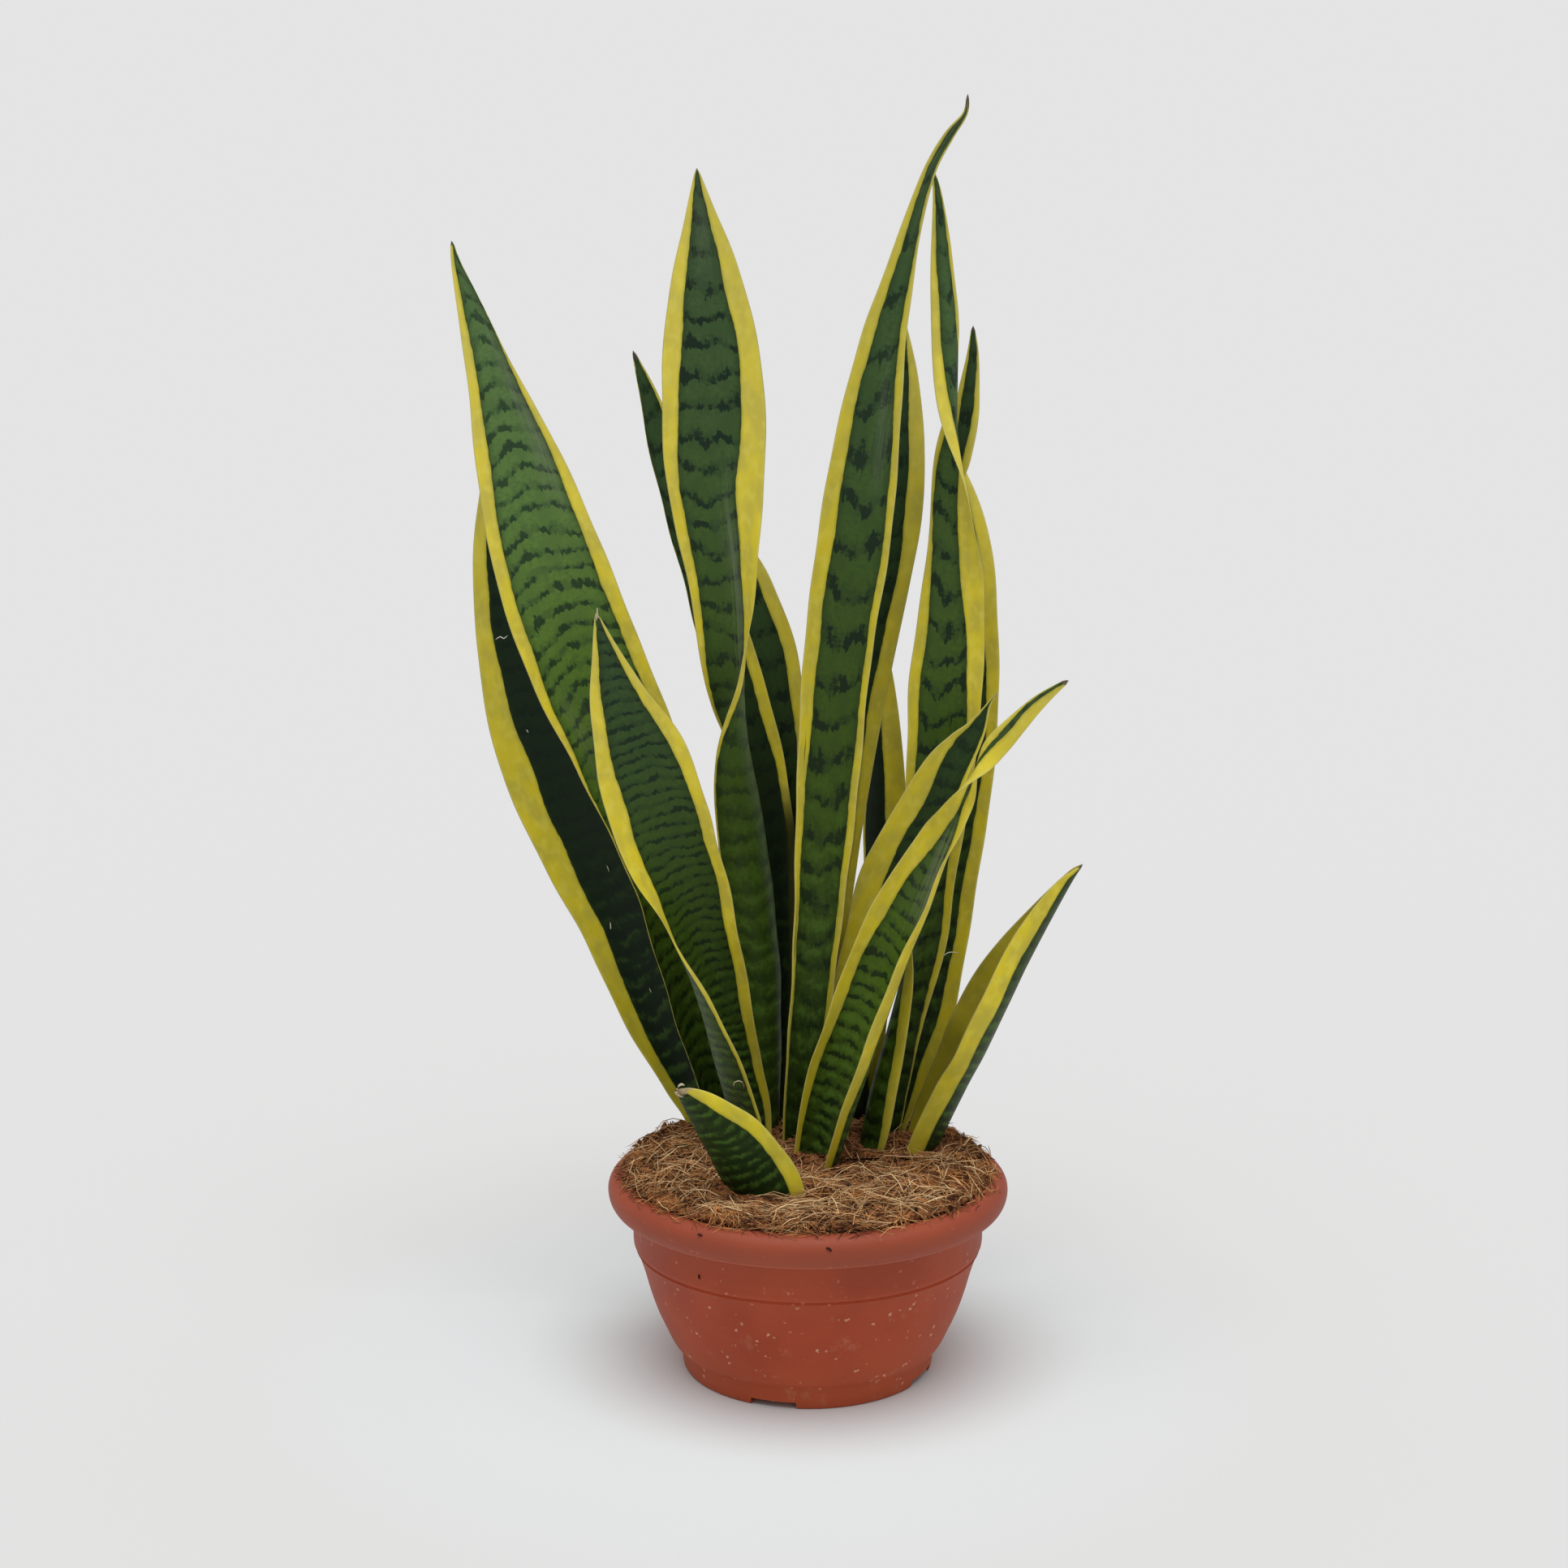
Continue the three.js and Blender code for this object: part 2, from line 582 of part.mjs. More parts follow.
function plant() {
  const group = new THREE.Group();
  const holes = leafHoles();
  group.add(named("pot", geometryOf(potSolid()), material(0xa84a34, 0.55)));
  group.add(named("potting_soil", geometryOf(soilSolid(holes)), material(0x33241a, 0.95)));
  group.add(named("coir_mulch", geometryOf(mulchSolid(holes)), material(0x7a5236, 0.95)));
  for (const [name, stations] of Object.entries(LEAVES)) {
    group.add(named(name, bladeGeometry(stations), material(0x35592b, 0.4)));
  }
  group.position.set(POT_AXIS.x, POT_AXIS.y, 0);
  return group;
}

export default plant();
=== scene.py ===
"""A potted snake plant: fifteen banded leaves with yellow margins, in coir in a round bowl planter.

Sizes are in millimetres about the pot's axis, and become metres in the frame where a mesh gets its place.
"""

import math

import bmesh
import bpy
import numpy as np
from mathutils import Matrix, Vector, noise


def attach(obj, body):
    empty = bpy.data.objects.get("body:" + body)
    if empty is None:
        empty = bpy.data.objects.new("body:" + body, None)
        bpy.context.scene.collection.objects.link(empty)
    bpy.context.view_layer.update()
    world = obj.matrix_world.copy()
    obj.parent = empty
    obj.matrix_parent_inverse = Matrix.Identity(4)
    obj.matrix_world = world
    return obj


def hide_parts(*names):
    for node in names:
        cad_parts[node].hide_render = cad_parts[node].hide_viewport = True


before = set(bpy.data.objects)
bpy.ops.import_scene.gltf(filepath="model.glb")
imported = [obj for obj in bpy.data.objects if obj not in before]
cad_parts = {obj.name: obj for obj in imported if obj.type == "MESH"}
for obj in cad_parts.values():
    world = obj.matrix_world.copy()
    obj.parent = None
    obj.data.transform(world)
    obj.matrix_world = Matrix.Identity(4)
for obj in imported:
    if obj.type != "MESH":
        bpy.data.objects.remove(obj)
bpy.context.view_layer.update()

MM = 0.001
POT_AXIS = np.array([23.7, 0.0, 0.0])  # where the pot's axis stands in the frame

# ---- camera and studio -----------------------------------------------
CAMERA_PLACE = (0.0087, -1.5, 0.634)  # in metres
CAMERA_PITCH = 9.9  # degrees below the horizon
FOCAL_SHARE = 3060 / 1932  # focal length over the picture's width
SENSOR = 36.0
BACKDROP_TONE = 0.776
SKY_STRENGTH = 0.42
KEY_STRENGTH = 2.05
KEY_HEIGHT = 77.0  # in degrees, like its spread and its turn
KEY_SPREAD = 54.0
KEY_TURN = -2.0
FLOOR_REACH = 60.0  # metres of floor on each side
# The floor's own tone, with which it looks as bright as the backdrop in this light.
FLOOR_TONE = BACKDROP_TONE / (SKY_STRENGTH + KEY_STRENGTH * math.sin(math.radians(KEY_HEIGHT)) / math.pi)
# Close to the pot that tone is changed by these shares of red, green and blue, which evens out the red
# light that the pot throws on the floor. The change is whole up to the first distance in metres and ends
# at the second.
FLOOR_NEAR_POT = (1.03, 1.09, 1.095)
FLOOR_NEAR_REACH = (0.12, 0.36)

# ---- pot -------------------------------------------------------------
WALL = 3.0
FOOT_RADIUS = 78.0
FOOT_WIDTH = 7.0
FLOOR_UNDERSIDE = 5.0
FLOOR_TOP = 8.5
BAND_RADIUS = 110.0
GROOVE_HEIGHT = 79.5
GROOVE_DEPTH = 1.2
RIM_RADIUS = 116.6  # centre of the rolled rim's section
RIM_HEIGHT = 116.5
RIM_ROLL = 9.0
RIM_DROP = 11.8  # how far the rim hangs below that centre
RIM_EDGE = RIM_HEIGHT - RIM_DROP
RIM_ARC = (-78, 170, 34)  # where the rim's section starts and ends in degrees, and in how many steps
# Radius and height of points up the outside of the bowl, from the foot to the groove.
BOWL = [
    (83.6, 16.2), (86.4, 19.5), (91.4, 30), (96.2, 41),
    (100.2, 53), (103.5, 65), (106.8, 75), (108.6, 78.5),
]
BOWL_STEPS = 28
POT_STEPS = 180
SHARP_ANGLE = 38.0  # degrees between two faces, from which the edge between them is sharp
NOTCH_WIDTH = 29.0
NOTCH_DEPTH = 29.0
NOTCH_HEIGHT = 4.5
NOTCH_TURNS = (-106.0, -25.5, 74.0, 154.5)
DRAIN_COUNT = 6
DRAIN_RADIUS = 5.0
DRAIN_CIRCLE = 46.0  # radius of the circle on which the drain holes lie

# ---- coir ------------------------------------------------------------
SOIL_TOP = 106.0
CROWN_HEIGHT = 130.0
HEAP = 5.0  # how much higher the coir lies at the back of the pot
INNER_RADIUS = RIM_RADIUS - RIM_ROLL - 0.35
LIP_HEIGHT = RIM_HEIGHT + RIM_ROLL + 2
SHOULDER = 22.0  # width over which the coir rises to its crown
MAT_SPOKES = 320
MAT_RINGS = 84
MAT_DOWN_ROWS = 12  # rows that run down from the lip, inside the pot
MAT_LIP = 0.9  # how far the mat's lip stands off the rim
MAT_LUMPS = [(2.4, 9.0, 3.0), (1.5, 3.4, 7.0), (0.8, 1.4, 11.0)]  # their height, width and seed
COIR_SEED = 7
CRUMB_COUNT = 2048  # a power of two, as the first crumb is doubled up
CRUMB_REACH = 116.0
CRUMB_GAP = 2.2  # from a crumb to the nearest leaf
FIBRE_RINGS = 6
FIBRE_SIDES = 3
FIBRE_REACH = 123.5  # no fibre goes further from the pot's axis
FIBRE_GAP = 2.6  # from a fibre to the nearest leaf
LIP_SPAN = (112.0, 119.0)  # distances from the axis over which the fibres come down on to the rim
LIP_FALL = 8.0
TUFT_REACH = 119.0
TUFT_SPREAD = 12.0
TUFT_TURN = 0.55  # how far the fibres of one tuft differ in heading, in radians
FEET_HEIGHTS = (118, 150)  # the part of every leaf that fibres and crumbs keep clear of
FEET_BATCH = 500  # how many paths are compared with the leaves at a time
# The kinds of loose fibre. "length", "arch" (how high the middle stands) and "thick" are ranges, "lift" is
# how far an end tilts up and "curl" how far the fibre turns.
FIBRE_KINDS = {
    "coir_fibres_short": dict(
        skin="brown", count=4096, tufts=900, length=(7, 22), arch=(-0.4, 2.0), lift=1.2, curl=0.35,
        thick=(0.12, 0.28)),
    "coir_fibres_mid": dict(
        skin="brown", count=3000, tufts=320, length=(16, 42), arch=(0.0, 3.4), lift=2.0, curl=0.25,
        thick=(0.14, 0.32)),
    "coir_fibres_long": dict(
        skin="straw", count=56, tufts=56, length=(46, 84), arch=(1.5, 6.0), lift=3.0, curl=0.8,
        thick=(0.20, 0.38)),
    "coir_fibres_straw": dict(
        skin="straw", count=1000, tufts=170, length=(18, 60), arch=(0.6, 4.4), lift=3.6, curl=0.18,
        thick=(0.16, 0.40)),
}

# ---- leaves ----------------------------------------------------------
# Each station is (x, y, height, half width, facing, fold), from the buried end up to the tip. Facing is the
# way that the hollow side looks, and fold how far each half bends, both in degrees.
LEAVES = {
    "leaf_centre_tall": [
        (-3, 46, 88, 10, 272, 60),
        (-5, 44, 136, 13, 270, 58),
        (5, 38, 257, 16, 268, 46),
        (12, 30, 358, 20.5, 266, 38),
        (18, 22, 446, 22, 265, 32),
        (28, 14, 521, 23.2, 264, 28),
        (35, 8, 578, 20.5, 264, 26),
        (43, 3, 633, 15, 265, 26),
        (51, 0, 669, 10.5, 266, 28),
        (60, -3, 705, 6.5, 267, 32),
        (70, -5, 737, 4.2, 267, 40),
        (81, -6, 757, 3.5, 267, 50),
        (90.5, -7, 770, 1.6, 267, 40),
        (92, -8, 781, 0.7, 267, 20),
    ],
    "leaf_centre_back": [
        (-10, 98, 88, 9, 282, 60),
        (-10, 98, 130, 10, 282, 60),
        (-13, 101, 284, 16, 281, 45),
        (-18, 106, 361, 20, 280, 38),
        (-26, 110, 431, 21.5, 280, 32),
        (-38, 113, 477, 18, 280, 30),
        (-49, 115, 506, 12.5, 280, 30),
        (-57, 117, 529, 6.5, 280, 30),
        (-62, 118, 545, 0.8, 280, 20),
    ],
    "leaf_slim_back": [
        (-26, 82, 88, 8, 300, 60),
        (-22, 82, 132, 9, 300, 60),
        (-23, 84, 285, 17, 300, 46),
        (-32, 87, 359, 19.9, 300, 40),
        (-43, 90, 407, 19.8, 300, 35),
        (-55, 92, 449, 19.3, 300, 32),
        (-68, 94, 496, 17.4, 299, 30),
        (-81, 96, 537, 14.6, 298, 28),
        (-93, 98, 575, 11, 297, 28),
        (-102, 100, 607, 6.4, 296, 28),
        (-111, 102, 634, 0.8, 296, 20),
    ],
    "leaf_broad_twisted": [
        (-26, 64, 88, 9, 95, 60),
        (-26, 64, 134, 10, 98, 60),
        (-27, 60, 223, 17, 112, 62),
        (-32, 55, 304, 24, 132, 62),
        (-35, 50, 353, 28, 150, 70),
        (-38, 47, 387, 29, 172, 78),
        (-41, 45, 415, 27.5, 196, 76),
        (-45, 43, 444, 26, 218, 57),
        (-49, 41, 493, 27, 238, 36),
        (-54, 39, 532, 29.5, 254, 28),
        (-57, 36, 570, 32.2, 266, 24),
        (-58, 33, 608, 32, 270, 22),
        (-60, 30, 645, 28.5, 270, 22),
        (-62, 26, 682, 20.5, 270, 24),
        (-65, 22, 717, 9, 270, 30),
        (-67, 20, 741, 0.8, 270, 20),
    ],
    "leaf_mid_behind": [
        (6, 72, 88, 9, 300, 60),
        (3, 72, 129, 10, 300, 60),
        (12, 73, 261, 15, 300, 48),
        (21, 75, 341, 17, 300, 42),
        (34, 77, 422, 18.4, 300, 36),
        (47, 79, 492, 19.5, 298, 32),
        (54, 81, 534, 19.8, 297, 30),
        (57, 82, 577, 17.5, 295, 28),
        (59, 83, 614, 11.5, 294, 28),
        (60, 84, 635, 6, 293, 28),
        (60, 85, 654, 0.8, 292, 20),
    ],
    "leaf_short_behind": [
        (34, 84, 88, 9, 300, 60),
        (34, 85, 132, 12, 300, 60),
        (44, 90, 242, 14.5, 298, 50),
        (48, 94, 322, 17, 296, 42),
        (49, 97, 365, 15, 295, 38),
        (48, 99, 414, 10, 294, 34),
        (46, 101, 449, 5, 292, 30),
        (45, 102, 473, 0.8, 292, 20),
    ],
    "leaf_right_twisted": [
        (27, 42, 88, 19, 342, 90),
        (36, 42, 134, 29, 342, 98),
        (42.5, 42, 168, 30, 344, 96),
        (56, 45, 216, 26, 340, 84),
        (68, 49, 258, 23.5, 322, 68),
        (73, 51, 295, 21, 293, 50),
        (82, 49, 372, 23.5, 279, 40),
        (86, 45, 428, 24.5, 270, 34),
        (91, 40, 486, 21, 256, 34),
        (92, 34, 527, 18, 236, 44),
        (91, 30, 565, 17.5, 208, 62),
        (89, 27, 605, 16, 158, 60),
        (85, 25, 642, 12, 128, 40),
        (81, 22, 684, 8.4, 115, 34),
        (77, 19, 724, 3.4, 110, 36),
        (73, 18, 741, 0.8, 110, 20),
    ],
    "leaf_right_back": [
        (54, 66, 88, 10, 275, 60),
        (52, 66, 126, 12, 275, 60),
        (64.5, 67, 175, 19.5, 276, 52),
        (76.5, 68, 217, 21.5, 276, 46),
        (93, 69, 316, 20, 276, 38),
        (100, 68, 371, 20, 276, 34),
        (102, 66, 428, 20, 277, 32),
        (100, 63, 476, 19.6, 280, 30),
        (98, 60, 507, 18.5, 292, 30),
        (94, 56, 545, 15.5, 330, 36),
        (94, 54, 572, 11.5, 380, 38),
        (98, 52, 602, 8, 428, 32),
        (101, 50, 630, 4.2, 446, 32),
        (101, 49, 649, 0.8, 446, 20),
    ],
    "leaf_right_inner": [
        (20, 56, 88, 9, 250, 60),
        (20, 56, 129, 10, 250, 60),
        (29, 50, 212, 15.9, 247, 50),
        (43, 44, 262, 20.5, 243, 44),
        (52, 38, 296, 22.5, 240, 40),
        (61, 33, 318, 22.5, 240, 38),
        (73, 28, 343, 21, 240, 36),
        (86, 22, 374, 17, 240, 36),
        (96, 18, 391, 12.4, 240, 36),
        (104, 14, 404, 7.3, 240, 36),
        (111, 11, 420, 1.5, 240, 30),
        (116, 10, 427, 0.7, 240, 20),
    ],
    "leaf_right_arching": [
        (3, 14, 88, 17, 212, 96),
        (14.6, 14, 129, 27, 216, 98),
        (26.6, 12, 172, 33, 217, 98),
        (40, 8, 214, 33, 216, 94),
        (55.8, 3, 262, 31.6, 213, 84),
        (70, -3, 300, 27.5, 211, 72),
        (83, -10, 337, 18, 212, 56),
        (89.5, -16, 358, 10, 250, 46),
        (96, -20, 376, 8.5, 330, 38),
        (107.5, -23, 394, 8.2, 400, 34),
        (119, -27, 407, 7.5, 440, 34),
        (136, -32, 426, 5, 455, 34),
        (151, -36, 439, 1.8, 460, 30),
        (154, -37, 441, 0.7, 460, 20),
    ],
    "leaf_right_low": [
        (66, 34, 88, 20, 180, 80),
        (84, 36, 131, 32, 176, 84),
        (103, 31, 175, 34.5, 177, 88),
        (115, 25, 203, 36, 181, 88),
        (129, 19, 236, 34, 178, 88),
        (146, 8, 276, 25, 164, 84),
        (161, -3, 310, 12.5, 154, 70),
        (168, -9, 324, 1.2, 150, 40),
    ],
    "leaf_left_front": [
        (-38, 34, 88, 20, 352, 84),
        (-46.5, 34, 139, 34, 354, 90),
        (-53, 32, 169, 35.4, 353, 90),
        (-59.5, 28, 197, 35.5, 348, 90),
        (-67, 23, 238, 33.4, 332, 84),
        (-74, 18, 272, 32.4, 316, 76),
        (-80, 13, 301, 32.8, 303, 62),
        (-87, 8, 328, 32.4, 288, 48),
        (-92.6, 3, 354, 32.4, 275, 36),
        (-102, -5, 391, 29.5, 270, 26),
        (-114.5, -13, 427, 19, 270, 26),
        (-122, -20, 457, 8.6, 270, 30),
        (-127, -25, 480, 0.8, 270, 20),
    ],
    "leaf_left_tall": [
        (-48, 61, 88, 14, 302, 75),
        (-54, 61, 134, 18, 302, 75),
        (-74, 61, 214, 23, 297, 66),
        (-84, 59, 267, 26.6, 293, 58),
        (-94, 57, 317, 30, 288, 48),
        (-117, 54, 387, 35.8, 281, 36),
        (-140, 50, 442, 37.7, 278, 28),
        (-160, 44, 501, 35.8, 276, 24),
        (-177.5, 39, 563, 27.7, 276, 22),
        (-193, 34, 617, 15.8, 276, 22),
        (-208, 30, 669, 6.4, 276, 28),
        (-213, 29, 687, 2.9, 276, 30),
        (-215, 28, 699, 0.8, 276, 20),
    ],
    "leaf_left_back": [
        (-65, 76, 88, 11, 262, 70),
        (-67, 77, 132, 13.5, 262, 70),
        (-79, 83, 162, 19, 262, 64),
        (-98, 89, 208, 26.5, 261, 54),
        (-119, 95, 265, 31, 260, 44),
        (-142, 99, 313, 33.5, 260, 36),
        (-165, 102, 368, 35, 260, 30),
        (-181, 104, 420, 31, 262, 26),
        (-196, 105, 500, 20.3, 264, 24),
        (-200, 105, 568, 6.5, 265, 24),
        (-200, 105, 594, 0.8, 265, 20),
    ],
    "leaf_short_front": [
        (-19, -60, 88, 16, 68, 60),
        (-23.5, -61.5, 110, 25, 68, 60),
        (-30, -64, 130, 29, 68, 58),
        (-39.5, -67, 147, 28.5, 66, 56),
        (-48, -70, 162.5, 26, 64, 54),
        (-56.5, -73, 175, 22, 62, 52),
        (-64, -76, 186, 16.5, 60, 50),
        (-71, -78, 195, 10.5, 58, 46),
        (-77.5, -80, 202.5, 3, 56, 30),
    ],
}
RINGS_PER_SPAN = 12
STRIPS = 14
BASE_THICKNESS = 3.2
TIP_THICKNESS = 1.2
MARGIN_THICKNESS = 0.5
LEAST_HALF_WIDTH = 0.7
LEAST_FOLD = 5.0
TIP_LENGTH = 3.0  # over which a tip narrows to its point
WAVE_HEIGHT = 0.55  # how far the margins wave
FULL_GROWN = 420.0  # a leaf this long above the coir has all the greens, and a shorter one fewer
PATTERN_SHIFT = 31.0  # how far each leaf's pattern is moved along from the one before
PHASE_SHIFT = 0.37  # the same for its dark bands, as a share of their pitch

# How each leaf is coloured. Left and right are as seen from the hollow inner face. The widths of the
# yellow margins and the strength of the dark bands run from the coir up to the tip, evenly spread.
# "pitch" is the distance between two dark bands near the base and near the tip, "smile" how far the bands
# rise at the margins, "tone" the green from 0 (dark) to 1 (light), "dry" the length of the dry tip and
# "husk" its tone. "olive" is painted shade that darkens the left and right margins. "shadow" is painted
# shadow: how dark the leaf's green grows among the others, from the coir up to the tip, and from 0.84 its
# margins darken too. "outer" is painted sheen that greys the outer face. Each of the "sheens" is painted
# sheen, a glossy reflection painted in as a pale streak: its place across the blade, its spread, where
# along the blade it starts and ends, and its strength.
LEAF_LOOKS = {
    "leaf_centre_tall": dict(
        left=(1.5, 1.8, 2.2, 3, 5, 7, 9, 10, 10, 8.5, 8, 5, 2.5, 0.5),
        right=(4, 4, 4.2, 4.6, 5, 5.5, 4.5, 4.7, 5, 4.8, 4.5, 2.2, 1.2, 0.4),
        bands=(0.5, 0.6, 0.8, 0.9, 1, 1, 0.9, 0.8, 0.7, 0.5), pitch=(15, 36), smile=0.45, tone=0.38, dry=16,
        husk=0.15, olive=(0.25, 0.3), shadow=(0.65, 0.35, 0.15, 0.15, 0.1, 0.1, 0.1),
        sheens=((0.45, 0.2, 0.6, 0.8, 0.45), (0.1, 0.8, 0.84, 1.1, 0.5))),
    "leaf_centre_back": dict(
        left=(6, 8, 10, 10, 9, 7, 1), right=(8, 8, 8, 8, 8, 9, 8, 1), bands=(0.4, 0.7, 0.9, 0.9),
        pitch=(16, 22), smile=0.2, tone=0.26, dry=4, husk=0.3, shadow=(1, 1, 0.95, 0.6, 0.3, 0, 0)),
    "leaf_slim_back": dict(
        left=(0.3, 0.3, 0.3, 0.3, 0.2), right=(4, 4, 3, 3.5, 5, 5, 6.5, 8, 7, 5, 4, 3, 2, 0.5),
        bands=(0.4, 0.7, 0.8, 0.7), pitch=(14, 18), smile=0.2, tone=0.26, dry=12, husk=0.0,
        shadow=(1, 1, 1, 1, 0.7, 0.4, 0.2, 0.1, 0)),
    "leaf_broad_twisted": dict(
        left=(1, 1, 1, 1, 2, 5, 7.5, 10.5, 9.8, 0.4), right=(1, 1, 1.2, 1.5, 2.5, 14, 18, 15, 12, 0.4),
        bands=(0.2, 0.2, 0.25, 0.4, 0.7, 0.9, 1, 1, 0.8), pitch=(14, 19), smile=0.25, tone=0.42, dry=3,
        husk=0.3, olive=(0.0, 0.1), shadow=(0.8, 0.65, 0.4, 0.15, 0, 0.1, 0.15, 0.15),
        sheens=((0.35, 0.22, 0.40, 0.74, 0.8), (0.0, 0.9, 0.86, 1.1, 0.25))),
    "leaf_mid_behind": dict(
        left=(6, 7, 8, 8, 8, 7, 0.5), right=(5, 5, 5, 5, 6, 9, 10.5, 9.5, 11, 9, 0.5),
        bands=(0.4, 0.6, 0.8, 0.8), pitch=(14, 22), smile=0.2, tone=0.16, dry=4, husk=0.3,
        olive=(0.15, 0.2), shadow=(1, 0.95, 0.7, 0.4, 0.2, 0.1)),
    "leaf_short_behind": dict(
        left=(2, 2, 2, 2, 1, 0.5), right=(0.4, 9, 9, 9, 10, 13, 14, 12, 6, 0.5), bands=(0.4, 0.6, 0.6),
        pitch=(14, 18), smile=0.2, tone=0.05, dry=4, husk=0.3, olive=(0.0, 0.0),
        shadow=(1, 0.85, 0.8, 0.7, 0.6)),
    "leaf_right_twisted": dict(
        left=(4, 7.5, 9.5, 8, 7.5, 7.5, 1.5, 5, 4.5, 0.5), right=(0.8, 1.5, 5, 6.5, 9, 13, 18, 8, 4.5, 0.5),
        bands=(0.8, 0.9, 1, 1, 0.9, 0.7), pitch=(12, 26), smile=0.6, tone=0.48, dry=3, husk=0.8,
        olive=(0.25, 0.0), shadow=(0.6, 0.45, 0.2, 0.1, 0, 0)),
    "leaf_right_back": dict(
        left=(6, 6, 6, 6, 6, 6, 6, 7, 4.5, 0.3), right=(3, 10, 10, 9, 8, 8, 10, 8, 5, 0.3),
        bands=(0.5, 0.8, 0.9, 0.8), pitch=(14, 20), smile=0.2, tone=0.22, dry=7, husk=0.0,
        olive=(0.3, 0.15), shadow=(0.8, 0.5, 0.2, 0.1, 0, 0.3, 0.3)),
    "leaf_right_inner": dict(
        left=(5, 8, 10, 12, 14, 17, 16, 14, 11, 3, 0.5), right=(4, 5, 5, 5, 5, 6, 3, 0.5),
        bands=(0.6, 0.6, 0.6), pitch=(12, 15), smile=0.3, tone=0.16, dry=6, husk=0.6, olive=(0.25, 0.2),
        shadow=(0.8, 0.5, 0.3, 0.2)),
    "leaf_right_arching": dict(
        left=(4, 5.6, 7, 8, 9, 11, 11, 12, 10, 9, 8, 1),
        right=(5, 6.5, 10, 13, 15, 14, 12, 8, 5, 5, 1.5, 0.5),
        bands=(0.9, 0.9, 0.8, 0.7), pitch=(8.5, 13), smile=0.3, tone=0.55, dry=8, husk=0.2,
        olive=(0.1, 0.1), outer=0.5, sheens=((0.25, 0.35, 0.42, 0.72, 0.9),)),
    "leaf_right_low": dict(
        left=(20, 21, 22, 22, 18, 14, 1), right=(11, 13, 14, 13, 13, 12.5, 12, 9, 1), bands=(0.5, 0.5),
        pitch=(8, 12), smile=0.3, tone=0.20, dry=5, husk=0.1, olive=(0.40, 0.05), outer=0.35),
    "leaf_left_front": dict(
        left=(2, 2, 2.5, 3.5, 7, 13, 14, 13, 9, 5.5, 0.3), right=(4, 6, 7, 7.2, 8, 8.2, 8, 9, 9.5, 5, 0.3),
        bands=(0.85, 0.85), pitch=(7, 8), smile=-0.25, tone=0.30, dry=6, husk=0.9, outer=0.5,
        shadow=(0.5, 0.25, 0.1, 0, 0.1, 0.1)),
    "leaf_left_tall": dict(
        left=(0.3, 0.3, 0.5, 1, 1.5, 5, 9.2, 8.5, 8.5, 5.5, 1.2),
        right=(8, 8, 8, 9, 9.5, 9.5, 9.3, 8.3, 4.5, 0.4, 0.2), bands=(0.7, 0.8, 0.85, 0.9, 0.8, 0.6),
        pitch=(10, 14), smile=-0.95, tone=0.9, dry=5, husk=0.1,
        shadow=(0.8, 0.7, 0.5, 0.25, 0.05, 0, 0.08, 0.15),
        sheens=((0.62, 0.22, 0.68, 1.0, 0.7), (-0.5, 0.25, 0.36, 0.56, 0.4)), outer=0.3),
    "leaf_left_back": dict(
        left=(6, 9, 11.5, 13.5, 17.5, 19, 16.5, 12.3, 9, 6.5, 0.5), right=(8, 8, 8, 8, 8, 8, 7, 6, 0.5),
        bands=(0.5, 0.6), pitch=(12, 16), smile=0.2, tone=0.03, dry=4, husk=0.2, olive=(0.15, 0.2),
        shadow=(0.84, 0.8, 0.75, 0.7, 0.55, 0.4)),
    "leaf_short_front": dict(
        left=(10, 10, 9.6, 9.6, 9.8, 9.8, 9.4, 8.6, 6.5, 2.5), right=(1, 1), bands=(0.2, 0.3), pitch=(7, 7),
        smile=0.1, tone=0.12, dry=9, husk=0.85, shadow=(0.5, 0.45, 0.35)),
}

# Dried tips, curls and dust on the leaves: each thread's radius, tone and points.
THREADS = [
    (0.5, 0.5, [(-126.9, -25, 475), (-126.2, -25.3, 479.5), (-126.2, -25.6, 483.3)]),
    (0.55, 0.8, [(74.4, 17.5, 740.5), (72.6, 17, 742.9), (70.4, 16.8, 741.6)]),
    (0.35, 0.9, [(87.0, 54, 250.2), (91.5, 57, 252.2), (98.4, 61, 251.0)]),
    (0.4, 0.9, [(-193.6, 100, 452.7), (-196.4, 100.4, 450.3), (-198.8, 100.8, 451.5),
                (-202.4, 101.4, 449.2)]),
    (0.5, 0.3, [(-45.6, 6, 176.6), (-46.8, 4, 180.6), (-43.6, 3, 182.6), (-40.4, 4, 180.6),
                (-40.6, 6, 175.6)]),
    (0.35, 0.7, [(-54.5, 18, 184), (-53.4, 17, 178), (-51.0, 16, 172)]),
    (1.0, 0.15, [(-77.8, -80.4, 203.4), (-79.2, -80.8, 201.4), (-77.4, -80, 198.6), (-73.6, -78.4, 196.8)]),
    (0.9, 0.25, [(-78.2, -80.6, 203.6), (-76, -80.6, 205.4), (-73.6, -79.6, 204.6)]),
    (0.42, 1.0, [(-131.2, 94.2, 301.6), (-130.4, 94, 299.6), (-129.8, 93.8, 297.4)]),
    (0.42, 1.0, [(-129.2, 92.8, 264), (-129.0, 92.6, 261.4), (-128.9, 92.4, 258.8)]),
    (0.4, 1.0, [(-103.6, 87.6, 220.6), (-103.0, 87.5, 219), (-102.5, 87.4, 217.6)]),
    (0.42, 1.0, [(-183.1, 101.4, 390.6), (-182.3, 101.3, 389.5), (-181.5, 101.2, 388.4)]),
]
